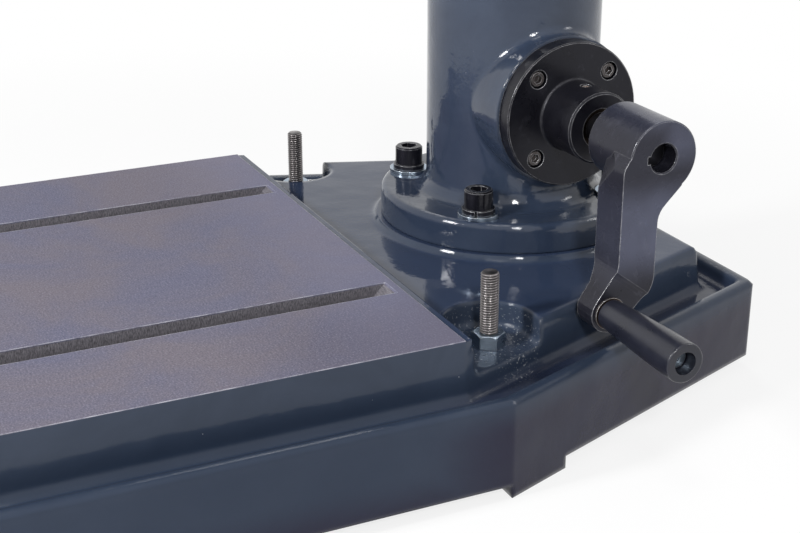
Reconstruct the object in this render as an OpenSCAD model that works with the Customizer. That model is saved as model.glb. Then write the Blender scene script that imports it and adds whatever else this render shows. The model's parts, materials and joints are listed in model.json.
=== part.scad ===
// Drill tapping machine: a cast base with a slotted table and a coolant trough, a column
// sleeve bolted behind the table, and a gear head on a lift column that a side crank
// raises through bevel gears and a screw. Millimetres.
// Origin: where the spindle axis meets the machined table face. +X is the operator's
// right, +Y runs back to the column and +Z is up.

/* [Table and base] */
// Width of the machined table face
table_w = 480; // [440:5:560]
// Table face in front of the spindle axis
table_front = 230; // [200:5:300]
// Table face behind the spindle axis
table_back = 170; // [150:5:185]
// Height of the table face above the floor
base_h = 112; // [100:1:150]
// Height of the foot pads
foot_h = 10; // [5:1:20]
// Length of each foot pad along the side
foot_l = 57; // [40:1:80]
// Painted ledge left behind the machined face
ledge_l = 6; // [3:1:10]
// Drop from the table face to the ledge
ledge_drop = 1; // [0.5:0.5:3]
// Drop from the table face to the column platform
platform_drop = 9; // [5:1:16]
// Length of the platform behind the table
platform_l = 271; // [255:1:300]
// Width of the platform at its rear edge
platform_end_w = 278; // [250:2:320]
// Outline of the base beyond the block, at the sides
skirt_side = 37; // [34:1:50]
// Outline of the base beyond the block, along the slanted sides
skirt_slant = 41.6; // [38:0.2:50]
// Outline of the base beyond the block, at the rear
skirt_rear = 38; // [34:1:50]
// Outline of the base beyond the block, at the front sump
skirt_front = 76; // [70:1:90]
// Width of the rim round the trough
rim_w = 12; // [8:1:16]
// Drop from the table face to the top of the rim
rim_drop = 35; // [28:1:40]
// Depth of the trough below the rim
trough_depth = 11; // [6:1:14]
// Rounding along the edge of the platform
platform_edge = 4.5; // [2:0.5:5]
// Iron left under the trough
trough_floor_t = 12; // [8:1:16]
// Wall of the base skirt
skirt_t = 14; // [8:1:20]
// Thickness of the ribs underneath
rib_t = 12; // [8:1:16]
// Rounding of the upright corners at the rear
corner_r = 6; // [3:1:12]
// Rounding of the upright corners at the front
front_corner_r = 26; // [10:1:40]
// Chamfer along the rim
rim_edge = 3; // [1:0.5:4]

/* [T-slots] */
// Distance between the two slots
slot_pitch = 258; // [200:2:280]
// Width of the slot throat
slot_w = 22; // [14:1:24]
// Depth of the slot throat
slot_neck = 18; // [14:1:20]
// Width of the slot head
slot_head_w = 37; // [30:1:40]
// Height of the slot head
slot_head_h = 16; // [10:1:18]
// Face left between the slot end and the rear edge
slot_end_gap = 6; // [4:1:15]

/* [Anchors] */
// Distance between the two anchor studs
stud_pitch = 390; // [370:2:400]
// Anchor studs in front of the column axis
stud_lead = 125; // [122:1:130]
// Thread size of the anchor studs
stud_d = 14; // [12:1:16]
// Height of the stud tops above the table face
stud_top = 29; // [10:1:60]
// Clearance hole for an anchor stud
anchor_hole_d = 18; // [17:0.5:20]
// Radius of the pocket round each stud
pocket_r = 34.5; // [30:0.5:36]
// Drop from the table face to the pocket floor
pocket_drop = 30; // [22:1:38]
// Width of the anchor nut across its flats
nut_af = 22; // [21:1:26]
// Height of the anchor nut
nut_h = 11; // [9:1:15]

/* [Column] */
// Spindle axis to column axis
throat = 338; // [335:1:343]
// Outer diameter of the column sleeve
column_d = 146; // [140:1:154]
// Diameter of the lift column inside it
tube_d = 115; // [110:1:118]
// Bore of the lift column
tube_bore_d = 78; // [70:1:84]
// Top of the sleeve above the table face
sleeve_top = 520; // [500:5:560]
// Diameter of the foot flange
flange_d = 225; // [220:1:232]
// Thickness of the foot flange
flange_t = 25.5; // [20:0.5:32]
// Drop from the table face to the flange seat
seat_drop = 4; // [3:0.5:4.5]
// Bolt circle of the foot flange
flange_pcd = 187; // [185:1:190]
// Thread size of the foot flange screws
foot_screw_d = 16; // [14:2:16]
// Depth of the foot screws in the base
foot_screw_in = 34; // [24:1:38]
// Fillet from the flange to the sleeve
column_fillet = 12; // [6:1:14]

/* [Lift crank] */
// Height of the crank axis above the table face
crank_z = 107; // [106:1:112]
// Diameter of the bearing boss on the sleeve
boss_d = 122; // [120:1:128]
// Face of the bearing boss from the column axis
boss_x = 84; // [82:1:88]
// Fillet between the bearing boss and the column
boss_fillet = 8; // [5:0.5:8.5]
// Diameter of the bearing flange
bearing_d = 118; // [114:1:120]
// Thickness of the bearing flange
bearing_t = 14.5; // [13:0.5:18]
// Bolt circle of the bearing flange
bearing_pcd = 92; // [90:1:94]
// Diameter of the hub on the bearing flange
bearing_hub_d = 57; // [52:1:60]
// Length of the hub on the bearing flange
bearing_hub_l = 42; // [40:1:46]
// Diameter of the crank shaft in its bush
shaft_d = 25; // [23:1:26]
// Diameter of the crank shaft in the crank
crank_bore_d = 22; // [18:1:22]
// Gap between the bearing hub and the crank hub
crank_gap = 27; // [25:1:32]
// Diameter of the crank hub
crank_hub_d = 57; // [50:1:58]
// Length of the crank hub
crank_hub_l = 58.5; // [56:0.5:64]
// Thickness of the crank arm
arm_t = 33; // [28:1:36]
// Width of the crank arm
arm_w = 32; // [28:1:36]
// Radius of the crank
crank_r = 122.5; // [118:0.5:124]
// Angle of the handle forward of straight down
crank_lean = 18.2; // [14:0.2:22]
// Length of the revolving grip
grip_l = 95; // [80:1:110]
// Diameter of the grip at its outer end
grip_d = 30; // [26:1:32]
// Diameter of the grip at the arm
grip_root_d = 23.5; // [22:0.5:25]

/* [Lift gears and screw] */
// Module of the bevel gears
bevel_m = 3; // [2.8:0.1:3.1]
// Teeth on each bevel gear
bevel_z = 20; // [18:2:20]
// Face of the bevel teeth along the axis
bevel_face = 8.5; // [6:0.5:9]
// Diameter of the lift screw
lift_screw_d = 30; // [28:1:32]
// Lead of the lift screw
lift_lead = 6; // [5:1:8]
// Travel of the head on the column
lift_travel = 200; // [150:5:220]
// Length of the lift nut
lift_nut_l = 55; // [40:1:60]

/* [Head] */
// Underside of the head above the table face, at its lowest
head_z = 545; // [540:5:600]
// Room between the upper gears and the cover of the head
gear_room = 18; // [14:1:30]
// Width of the head casting
head_w = 230; // [220:2:250]
// Head casting in front of the spindle axis
head_front = 100; // [96:2:120]
// Radius of the head casting round the column
head_rear_r = 92; // [88:1:100]
// Thickness of the head cover
cover_t = 15; // [12:1:20]
// Diameter of the quill housing under the head
snout_d = 130; // [124:2:136]
// Length of the quill housing under the head
snout_l = 90; // [60:5:100]

/* [Quill and spindle] */
// Diameter of the quill
quill_d = 80; // [76:1:84]
// Bottom of the quill below the quill housing
quill_out = 15; // [8:1:25]
// Travel of the quill
quill_travel = 150; // [120:5:150]
// Diameter of the spindle nose
nose_d = 50; // [46:1:54]
// Length of the spindle nose
nose_l = 15; // [8:1:25]
// Mouth of the taper socket
taper_d = 31.27; // [28:0.01:32]
// Diameter of the splined end of the spindle
spline_d = 30; // [26:1:32]
// Module of the feed rack
rack_m = 2.5; // [2:0.1:2.5]
// Teeth of the feed pinion
pinion_z = 16; // [16:1:16]
// Height of the feed shaft above the underside of the head
feed_up = 45; // [40:1:50]
// Diameter of the feed shaft
feed_d = 25; // [20:1:26]

/* [Gear train] */
// Module of the drive gears
drive_m = 2.5; // [2.4:0.1:2.5]
// Teeth of the spindle gear
spindle_z = 48; // [48:4:48]
// Teeth of the layshaft gear that drives it
lay_small_z = 32; // [32:4:32]
// Teeth of the layshaft gear that the motor drives
lay_large_z = 50; // [50:1:50]
// Teeth of the motor pinion
motor_z = 20; // [20:1:20]
// Diameter of the motor frame
motor_d = 175; // [160:5:180]
// Length of the motor frame
motor_l = 190; // [160:5:240]

/* [Hidden] */
$fn = 96;

paint = [0.22, 0.26, 0.31];
bare_iron = [0.5, 0.49, 0.51];
black_steel = [0.13, 0.13, 0.14];
bright_steel = [0.72, 0.73, 0.75];
zinc = [0.55, 0.6, 0.64];
bronze = [0.7, 0.5, 0.28];
black_plastic = [0.09, 0.09, 0.1];
pale_paint = [0.8, 0.8, 0.78];

// Clearances: running fit, fixed fit, loose hole and the cut-through allowance
run = 0.05;
fix = 0.03;
loose = 0.75;
eps = 0.5;

// Base levels
floor_z = -base_h;
skirt_z = floor_z + foot_h;
trough_z = -rim_drop - trough_depth;
cell_z = trough_z - trough_floor_t;
seat_z = -seat_drop;
flange_top = seat_z + flange_t;
flange_round = 5;
pocket_z = -pocket_drop;
pocket_round = 6;
block_end = table_back + platform_l;
stud_y = throat - stud_lead;
slot_end = table_back - slot_end_gap;

// Slant of the base sides: unit normal of the slanted side of the block
slant = [platform_l, (table_w - platform_end_w) / 2];
slant_n = slant / norm(slant);
ledge_w = table_w / 2 - ledge_l * slant.y / slant.x;

// Column levels
register_r = 75;
register_d = 18;
boss_step = 4;
sleeve_r = column_d / 2;
tube_r = tube_d / 2;
chamber_r = tube_r - 1.5;
chamber_top = crank_z + 46;
crank_axis = [0, throat, crank_z];

// Lift gears
bevel_r = bevel_m * bevel_z / 2;
bevel_taper = (bevel_r - bevel_face) / bevel_r;
bevel_tip = bevel_r * tan(45 + atan(bevel_m / (bevel_r * sqrt(2))));
bevel_play = 0.25;
gear_hub_r = 20;
gear_hub_l = 24;
journal_d = lift_screw_d - 6;
wheel_z = crank_z - bevel_r;
bearing_top = wheel_z - gear_hub_l;
thrust_h = 16;
housing_top = bearing_top - 4;
spigot_r = bevel_tip + 1.5;
spigot_l = 22;
nut_flange_t = 10;
nut_z = crank_z + bevel_tip + 3.5;
tube_z = nut_z + nut_flange_t;
shoulder_z = wheel_z + bevel_face;
screw_top = tube_z + lift_travel + 90;

// Crank
bearing_face = boss_x + bearing_t;
hub_face = bearing_face + bearing_hub_l;
crank_in = hub_face + crank_gap;
crank_out = crank_in + crank_hub_l;
handle_at = crank_r * [-sin(crank_lean), -cos(crank_lean)];
seat_cut = 2.5;
grip_x = crank_out - seat_cut + 2;
washer_t = 1.5;
grip_socket = 15.5;
bush_wall = 3.5;
shaft_end = crank_out - 15;
key_w = 6;

// Head
quill_z = head_z - snout_l - quill_out;
feed_z = head_z + feed_up;
rack_reach = 15;
quill_top = feed_z + quill_travel + rack_reach;
quill_r = quill_d / 2;
rack_line = quill_r - 5.5;
pinion_r = rack_m * pinion_z / 2;
feed_y = rack_line + pinion_r;
pinion_w = 30;
bearing_w = 16;
sleeve_z = quill_top + 4;
gear1_z = sleeve_z + bearing_w + 4;
gear1_w = 18;
gear2_z = gear1_z + gear1_w + 6;
gear2_w = 14;
lay_y = drive_m * (spindle_z + lay_small_z) / 2;
motor_y = lay_y + drive_m * (lay_large_z + motor_z) / 2;
cavity_z = sleeve_z - 2;
head_top = gear2_z + gear2_w + gear_room;
cover_top = head_top + cover_t;
tube_top = head_z + 235;
spline_top = gear1_z + quill_travel + 12;
cap_h = spline_top + 12 - cover_top;
head_side = head_w / 2;
head_back = throat - head_rear_r + 10;
sleeve_r_out = 25;
feed_seat_d = 108;
motor_flange_r = 100;
motor_screw_r = 91;
box_half = 44;
box_deep = 42;
box_up = 106;
play = 0.12;
socket_l = 118;

// Unit vector, and a polygon with each corner rounded to its own radius
function unit(v) = v / norm(v);
function turn(a) = a > 180 ? a - 360 : a < -180 ? a + 360 : a;
function arc_pts(c, r, a0, a1, n) = [
    for (k = [0:n]) let (a = a0 + (a1 - a0) * k / n) c + r * [cos(a), sin(a)]
];
function rounded(p, r, n = 6) = [
    for (i = [0:len(p) - 1])
        let (
            b = p[i],
            u = unit(p[(i + len(p) - 1) % len(p)] - b),
            v = unit(p[(i + 1) % len(p)] - b),
            half = acos(u * v) / 2,
            c = b + unit(u + v) * r[i] / sin(half),
            s = b + u * r[i] / tan(half) - c,
            e = b + v * r[i] / tan(half) - c,
            a0 = atan2(s.y, s.x),
            a1 = a0 + turn(atan2(e.y, e.x) - a0)
        )
        each arc_pts(c, r[i], a0, a1, n)
];

// Outline of the block moved out by its own amount on each side, anticlockwise from above
function outline(side, slant_out, rear, front, r, rf) =
    let (
        x1 = table_w / 2 + side,
        y2 = table_back + (slant_out - slant_n.x * side) / slant_n.y,
        x3 = platform_end_w / 2 + (slant_out - slant_n.y * rear) / slant_n.x,
        y3 = block_end + rear,
        y1 = -table_front - front
    )
    rounded([[x1, y1], [x1, y2], [x3, y3], [-x3, y3], [-x1, y2], [-x1, y1]],
        [rf, r, r, r, r, rf]);
function skirt_outline(inset) = outline(skirt_side - inset, skirt_slant - inset,
    skirt_rear - inset, skirt_front - inset, corner_r, front_corner_r);

// Closed solid through outlines of equal length, each at its own height
module loft(outlines, heights) {
    n = len(outlines[0]);
    m = len(outlines);
    points = [for (j = [0:m - 1]) for (p = outlines[j]) [p.x, p.y, heights[j]]];
    sides = [for (j = [0:m - 2]) for (i = [0:n - 1])
        [j * n + i, (j + 1) * n + i, (j + 1) * n + (i + 1) % n, j * n + (i + 1) % n]];
    bottom = [[for (i = [0:n - 1]) i]];
    top = [[for (i = [n - 1:-1:0]) (m - 1) * n + i]];
    polyhedron(points, concat(sides, bottom, top));
}

module slab(outline_pts, z0, z1) {
    translate([0, 0, z0]) linear_extrude(z1 - z0) polygon(outline_pts);
}

module block_at(lo, hi) {
    translate(lo) cube(hi - lo);
}

module sideways(at) {
    translate(at) rotate([90, 0, 90]) children();
}

module both_sides() {
    children();
    mirror([1, 0, 0]) children();
}

module ring(r_out, r_in, h) {
    difference() {
        cylinder(r = r_out, h = h);
        translate([0, 0, -eps]) cylinder(r = r_in, h = h + 2 * eps);
    }
}

// Socket head cap screw, head up, with its seat at z = 0
module cap_screw(d, l) {
    difference() {
        union() {
            translate([0, 0, -l]) cylinder(d = d, h = l + eps);
            rotate_extrude() polygon([[0, 0], [0.75 * d, 0], [0.75 * d, 0.92 * d],
                [0.67 * d, d], [0, d]]);
        }
        translate([0, 0, 0.45 * d]) cylinder(d = 0.95 * d, h = d, $fn = 6);
    }
}

// Involute gear outline with a tooth centred on the X axis turned by phase
function inv(a) = tan(a) * 180 / PI - a;
function half_tooth(m, z, r, back) =
    let (rb = m * z / 2 * cos(20), a = r > rb ? acos(rb / r) : 0)
    90 / z - back / (m * z / 2) * 180 / PI + inv(20) - inv(a);
function gear_outline(m, z, phase, back) =
    let (
        rp = m * z / 2,
        rb = rp * cos(20),
        rf = rp - 1.25 * m,
        ra = rp + m,
        radii = [rf, max(rf + 0.01, rb), (rp + ra) / 2, ra]
    )
    [for (i = [0:z - 1]) each [
        for (r = radii)
            let (a = phase + i * 360 / z - half_tooth(m, z, max(r, rb), back)) r * [cos(a), sin(a)],
        for (k = [3:-1:0])
            let (r = radii[k], a = phase + i * 360 / z + half_tooth(m, z, max(r, rb), back))
            r * [cos(a), sin(a)]
    ]];

// Mitre gear outline at its large end, from the equivalent spur gear on the back cone
function mitre_point(m, z, h, side, back) =
    let (
        rc = m * z / 2 * sqrt(2),
        zv = z * sqrt(2),
        d = atan(h / rc),
        arc = half_tooth(m, zv, rc + h, back) * (rc + h),
        a = side * arc / (rc / cos(d) * sin(45 + d))
    )
    m * z / 2 * tan(45 + d) * [cos(a), sin(a)];
function spin2(p, a) = [p.x * cos(a) - p.y * sin(a), p.x * sin(a) + p.y * cos(a)];
function mitre_outline(m, z, phase, back) = [
    for (i = [0:z - 1]) each [
        for (h = [-1.25, -0.6, 0.2, 1]) spin2(mitre_point(m, z, h * m, -1, back), phase + i * 360 / z),
        for (h = [1, 0.2, -0.6, -1.25]) spin2(mitre_point(m, z, h * m, 1, back), phase + i * 360 / z)
    ]
];

// Base casting: slotted table block, column platform, trough, rim, ribs and foot pads
module underside_cells() {
    nx = 4;
    ny = 6;
    inner = skirt_outline(skirt_t);
    x0 = -table_w / 2 - skirt_side + skirt_t;
    y0 = -table_front - skirt_front + skirt_t;
    cx = (-2 * x0 + rib_t) / nx;
    cy = (block_end + skirt_rear - skirt_t - y0 + rib_t) / ny;
    difference() {
        intersection() {
            slab(inner, floor_z - eps, cell_z);
            for (i = [0:nx - 1]) {
                for (j = [0:ny - 1]) {
                    translate([x0 + i * cx, y0 + j * cy, floor_z - 2 * eps])
                        cube([cx - rib_t, cy - rib_t, base_h]);
                }
            }
        }
        both_sides() {
            translate([stud_pitch / 2, stud_y, floor_z - 2 * eps]) cylinder(d = 60, h = base_h);
            translate([stud_pitch / 2, front_anchor_y, floor_z - 2 * eps]) cylinder(d = 56, h = base_h);
            foot_boxes();
        }
    }
}

front_anchor_y = -table_front - (skirt_front - rim_w) / 2;

module foot_boxes() {
    block_at([stud_pitch / 2 - 32, stud_y - 23, floor_z - eps],
        [table_w / 2 + skirt_side + eps, stud_y - 23 + foot_l, 0]);
    block_at([stud_pitch / 2 - 32, -table_front - skirt_front - eps, floor_z - eps],
        [table_w / 2 + skirt_side + eps, -table_front - skirt_front + 1.4 * foot_l, 0]);
}

module t_slot() {
    y0 = -table_front - skirt_front;
    translate([-slot_w / 2, 0, 0]) rotate([90, 0, 90]) linear_extrude(slot_w)
        polygon([[y0, eps], [slot_end + eps, eps], [slot_end - slot_neck, -slot_neck],
            [slot_end - slot_neck - 6, -slot_neck - slot_head_h], [y0, -slot_neck - slot_head_h]]);
    block_at([-slot_head_w / 2, y0, -slot_neck - slot_head_h],
        [slot_head_w / 2, slot_end - slot_neck - 6, -slot_neck]);
}

module base_casting() {
    color(paint) difference() {
        union() {
            difference() {
                loft([skirt_outline(0), skirt_outline(0), skirt_outline(rim_edge)],
                    [skirt_z, -rim_drop - rim_edge, -rim_drop]);
                loft([skirt_outline(rim_w + 4), skirt_outline(rim_w + 1), skirt_outline(rim_w),
                        skirt_outline(rim_w - 2.5)],
                    [trough_z, trough_z + 4, -rim_drop - 2.5, -rim_drop + 0.01]);
            }
            loft([outline(7, 7, 7, 7, 3, 6), outline(2.5, 2.5, 2.5, 2.5, 3, 6),
                    outline(0, 0, 0, 0, 3, 6), outline(-2, -2, -2, -2, 3, 6),
                    outline(-platform_edge, -platform_edge, -platform_edge, -platform_edge, 3, 6)],
                [trough_z - 1, trough_z + 6, -platform_drop - platform_edge,
                    -platform_drop - 1.2, -platform_drop]);
            block_at([-table_w / 2, -table_front, -platform_drop - platform_edge - 0.1],
                [table_w / 2, table_back, 0]);
            slab([[table_w / 2, table_back - 1], [table_w / 2, table_back],
                [ledge_w, table_back + ledge_l], [-ledge_w, table_back + ledge_l],
                [-table_w / 2, table_back], [-table_w / 2, table_back - 1]],
                -platform_drop - platform_edge - 0.1, -ledge_drop);
            column_seat();
            intersection() {
                slab(skirt_outline(0), floor_z, skirt_z + eps);
                both_sides() foot_boxes();
            }
            both_sides() translate([stud_pitch / 2, front_anchor_y, trough_z - 1])
                cylinder(d1 = 52, d2 = 46, h = 7);
        }
        underside_cells();
        both_sides() {
            translate([slot_pitch / 2, 0, 0]) t_slot();
            stud_pocket();
            translate([stud_pitch / 2, stud_y, floor_z - eps]) cylinder(d = anchor_hole_d, h = base_h);
            translate([stud_pitch / 2, front_anchor_y, floor_z - eps])
                cylinder(d = anchor_hole_d, h = base_h);
        }
        translate([0, throat, seat_z - register_d]) cylinder(r = register_r, h = register_d + 10);
        foot_screw_places() translate([0, 0, seat_z - foot_screw_in - 6])
            cylinder(d = foot_screw_d + 2 * run, h = foot_screw_in + 20);
    }
}

// Raised ring that the column flange is bolted to
module column_seat() {
    r = flange_d / 2 + 4;
    f = 6;
    translate([0, throat, 0]) rotate_extrude() polygon(concat(
        [[register_r - 5, trough_z - 1], [r + f, trough_z - 1], [r + f, -platform_drop]],
        [for (a = [20:20:80]) [r + f - f * sin(a), -platform_drop + f - f * cos(a)]],
        [[r - 1, seat_z], [register_r - 5, seat_z]]));
}

module foot_screw_places() {
    for (a = [45:90:315]) {
        translate([0, throat, 0]) rotate([0, 0, a]) translate([flange_pcd / 2, 0, 0]) children();
    }
}

pocket_side = concat([for (a = [270:15:360]) [pocket_r, 0] + pocket_round * [cos(a) - 1, sin(a) + 1]],
    [[pocket_r, pocket_drop + eps]]);

module stud_pocket() {
    translate([stud_pitch / 2, stud_y, pocket_z]) {
        rotate_extrude() polygon(concat([[0, 0]], pocket_side, [[0, pocket_drop + eps]]));
        rotate([90, 0, 90]) linear_extrude(table_w / 2)
            polygon(concat(pocket_side, [for (i = [len(pocket_side) - 1:-1:0])
                [-pocket_side[i].x, pocket_side[i].y]]));
    }
}

module anchor_studs() {
    color(zinc) both_sides() translate([stud_pitch / 2, stud_y, floor_z + 1])
        rotate_extrude() polygon([[0, 0], [stud_d / 2 - 1.5, 0], [stud_d / 2, 1.5],
            [stud_d / 2, stud_top + base_h - 2.5], [stud_d / 2 - 1.5, stud_top + base_h - 1],
            [0, stud_top + base_h - 1]]);
}

module anchor_nuts() {
    color(zinc) both_sides() translate([stud_pitch / 2, stud_y, pocket_z])
        difference() {
            intersection() {
                cylinder(d = nut_af / cos(30), h = nut_h, $fn = 6);
                rotate_extrude() polygon([[0, -1], [nut_af / 2 + 1, -1], [nut_af / 2 + 3, 1],
                    [nut_af / 2 + 3, nut_h - 2], [nut_af / 2 - 0.6, nut_h + 0.2], [0, nut_h + 0.2]]);
            }
            translate([0, 0, -eps]) cylinder(d = stud_d + 2 * run, h = nut_h + 1);
        }
}

// Column sleeve: foot flange, fillet, bearing boss, split clamp at the top
clamp_x = sleeve_r + 21;
clamp_z = sleeve_top - 40;
clamp_lug_y = 26;
clamp_d = 16;
clamp_nut_d = 28;
key_z = sleeve_top - 110;

module column_sleeve() {
    fr = flange_d / 2;
    color(paint) translate([0, throat, 0]) difference() {
        union() {
            rotate_extrude() polygon(concat(
                [[0, seat_z - register_d + 2], [register_r - run, seat_z - register_d + 2],
                 [register_r - run, seat_z], [fr - 1, seat_z], [fr, seat_z + 1]],
                [for (a = [0:18:90]) [fr, flange_top] + flange_round * [cos(a) - 1, sin(a) - 1]],
                [for (a = [270:-18:180]) [sleeve_r + column_fillet + column_fillet * cos(a),
                    flange_top + column_fillet + column_fillet * sin(a)]],
                [[sleeve_r, sleeve_top - 2], [sleeve_r - 2, sleeve_top], [0, sleeve_top]]));
            sideways([0, 0, crank_z]) cylinder(d = boss_d, h = boss_x);
            boss_blend(boss_d / 2, boss_fillet);
            block_at([sleeve_r - 14, -clamp_lug_y, clamp_z - 25], [clamp_x + 3, clamp_lug_y, clamp_z + 25]);
            translate([clamp_x, 0, clamp_z]) rotate([90, 0, 0])
                cylinder(r = 25, h = 2 * clamp_lug_y, center = true);
        }
        translate([0, 0, seat_z - register_d - eps]) cylinder(r = chamber_r, h = sleeve_top);
        translate([0, 0, chamber_top]) cylinder(r = tube_r + run, h = sleeve_top);
        sideways([0, 0, crank_z]) cylinder(r = spigot_r + fix, h = boss_x + eps);
        sideways([boss_x - 20, 0, crank_z]) bearing_screw_places() cylinder(d = 8 + 2 * run, h = 30);
        for (a = [45:90:315]) {
            rotate([0, 0, a]) translate([flange_pcd / 2, 0, seat_z - eps]) {
                cylinder(d = foot_screw_d + 2 * loose, h = flange_t + 2 * eps);
                translate([0, 0, flange_t + eps]) cylinder(d = 2.16 * foot_screw_d, h = column_fillet);
            }
        }
        block_at([tube_r - 2, -2, clamp_z - 50], [clamp_x + 40, 2, sleeve_top + eps]);
        translate([clamp_x, 0, clamp_z]) rotate([90, 0, 0])
            cylinder(d = clamp_d + 2 * run, h = 2 * clamp_lug_y + 2, center = true);
        block_at([-key_w - fix, tube_r - 8, key_z - fix], [key_w + fix, sleeve_r + eps, key_z + 50 + fix]);
        block_at([-key_w - 8, sleeve_r - 4, key_z - 10], [key_w + 8, sleeve_r + eps, key_z + 60]);
    }
}

// Ball of this radius rolled round the corner between the boss and the column
module boss_blend(boss_r, fillet) {
    around = 60;
    steps = 8;
    sunk = 0.25;
    m = steps + 2;
    sections = [for (i = [0:around - 1])
        let (
            a = i * 360 / around,
            out = [0, cos(a), sin(a)],
            side = (boss_r + fillet) * cos(a),
            reach = sqrt(pow(sleeve_r + fillet, 2) - side * side),
            ball = [reach, side, (boss_r + fillet) * sin(a)],
            in = unit([reach, side, 0])
        )
        concat(
            [for (k = [0:steps])
                let (deep = k == 0 || k == steps ? sunk : 0)
                ball - (fillet + deep) * unit(out * (steps - k) + in * k)],
            [ball - (fillet + 6) * unit(out + in)]
        )
    ];
    faces = [for (i = [0:around - 1]) for (k = [0:m - 1])
        let (here = i * m, there = ((i + 1) % around) * m, next = (k + 1) % m)
        each [[here + k, there + next, here + next], [here + k, there + k, there + next]]];
    translate([0, 0, crank_z]) polyhedron([for (s = sections) each s], faces);
}

module bearing_screw_places() {
    for (a = [45:90:315]) {
        rotate([0, 0, a]) translate([bearing_pcd / 2, 0, 0]) children();
    }
}

spring_washer_h = 4;
flat_washer_h = 3;

module column_screws() {
    color(black_steel) foot_screw_places()
        translate([0, 0, flange_top + flat_washer_h + spring_washer_h])
            cap_screw(foot_screw_d, flange_t + foot_screw_in + flat_washer_h + spring_washer_h);
}

module column_spring_washers() {
    color(black_steel) foot_screw_places() translate([0, 0, flange_top + flat_washer_h])
        difference() {
            ring(foot_screw_d * 0.86, foot_screw_d / 2 + 0.4, spring_washer_h);
            translate([0, -1, -eps]) rotate([0, 0, 8]) cube([foot_screw_d, 2, spring_washer_h + 2 * eps]);
        }
}

module column_flat_washers() {
    color(zinc) foot_screw_places() translate([0, 0, flange_top])
        ring(foot_screw_d * 1.06, foot_screw_d / 2 + 0.5, flat_washer_h);
}

// Lift drive inside the sleeve
module screw_housing() {
    bottom = seat_z - register_d;
    color(bare_iron) translate([0, throat, 0]) difference() {
        union() {
            translate([0, 0, bottom]) cylinder(r = chamber_r - run, h = 26);
            translate([0, 0, bottom + 25]) cylinder(r = 34, h = housing_top - bottom - 25);
        }
        translate([0, 0, bottom - eps]) cylinder(d = journal_d + 2 * run, h = housing_top - bottom + 2);
        translate([0, 0, bearing_top - thrust_h]) cylinder(r = 26 + run, h = thrust_h + 2);
    }
}

module thrust_bearing() {
    race = 5;
    ball_r = (thrust_h - 2 * race + 3) / 2;
    ball_line = 19.5;
    color(bright_steel) translate([0, throat, bearing_top - thrust_h]) {
        difference() {
            union() {
                ring(26, journal_d / 2 + 1, race);
                translate([0, 0, thrust_h - race]) ring(25, journal_d / 2 + 0.2, race);
            }
            translate([0, 0, thrust_h / 2]) rotate_extrude() translate([ball_line, 0])
                circle(r = ball_r + run, $fn = 32);
        }
        for (a = [0:30:330]) {
            rotate([0, 0, a]) translate([ball_line, 0, thrust_h / 2]) sphere(r = ball_r, $fn = 32);
        }
    }
}

module lift_screw() {
    color(bright_steel) translate([0, throat, 0]) rotate_extrude() polygon([
        [0, seat_z - register_d + 1], [journal_d / 2 - 1, seat_z - register_d + 1],
        [journal_d / 2, seat_z - register_d + 2], [journal_d / 2, shoulder_z],
        [lift_screw_d / 2 - 1, shoulder_z], [lift_screw_d / 2, shoulder_z + 1],
        [lift_screw_d / 2, screw_top - 2], [lift_screw_d / 2 - 2, screw_top], [0, screw_top]]);
}

// Mitre gear with its apex bevel_r above its large end, hub below
module mitre_gear(phase, bore) {
    difference() {
        union() {
            linear_extrude(bevel_face, scale = bevel_taper)
                polygon(mitre_outline(bevel_m, bevel_z, phase, bevel_play));
            translate([0, 0, -4]) cylinder(r1 = bevel_r - 5, r2 = bevel_r * 0.84, h = 4.01);
            translate([0, 0, -gear_hub_l]) cylinder(r = gear_hub_r, h = gear_hub_l);
        }
        translate([0, 0, -gear_hub_l - eps]) cylinder(d = bore, h = gear_hub_l + bevel_face + 2 * eps);
    }
}

module bevel_wheel() {
    color(bright_steel) translate([0, throat, wheel_z]) mitre_gear(180 / bevel_z, journal_d + 2 * fix);
}

module bevel_pinion() {
    color(bright_steel) translate(crank_axis) translate([bevel_r, 0, 0])
        mirror([1, 0, 0]) rotate([90, 0, 90]) mitre_gear(0, crank_bore_d - 2 + 2 * fix);
}

module lift_nut() {
    color(bronze) translate([0, throat, nut_z]) difference() {
        union() {
            cylinder(r = tube_r - 3, h = nut_flange_t);
            cylinder(d = tube_bore_d - 2 * fix, h = nut_flange_t + lift_nut_l);
        }
        translate([0, 0, -eps])
            cylinder(d = lift_screw_d + 2 * run, h = nut_flange_t + lift_nut_l + 2 * eps);
    }
}

module lift_column() {
    color(bright_steel) translate([0, throat, tube_z]) difference() {
        ring(tube_r, tube_bore_d / 2, tube_top - tube_z);
        block_at([-key_w, tube_r - 5, -eps], [key_w, tube_r + 5, sleeve_top - tube_z]);
    }
}

module guide_key() {
    color(bright_steel) translate([0, throat, key_z]) {
        block_at([-key_w + run, tube_r - 4.7, 0], [key_w - run, sleeve_r - 3, 50]);
        block_at([-key_w - 7.5, sleeve_r - 4, -9.5], [key_w + 7.5, sleeve_r + 1, 59.5]);
    }
}

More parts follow.
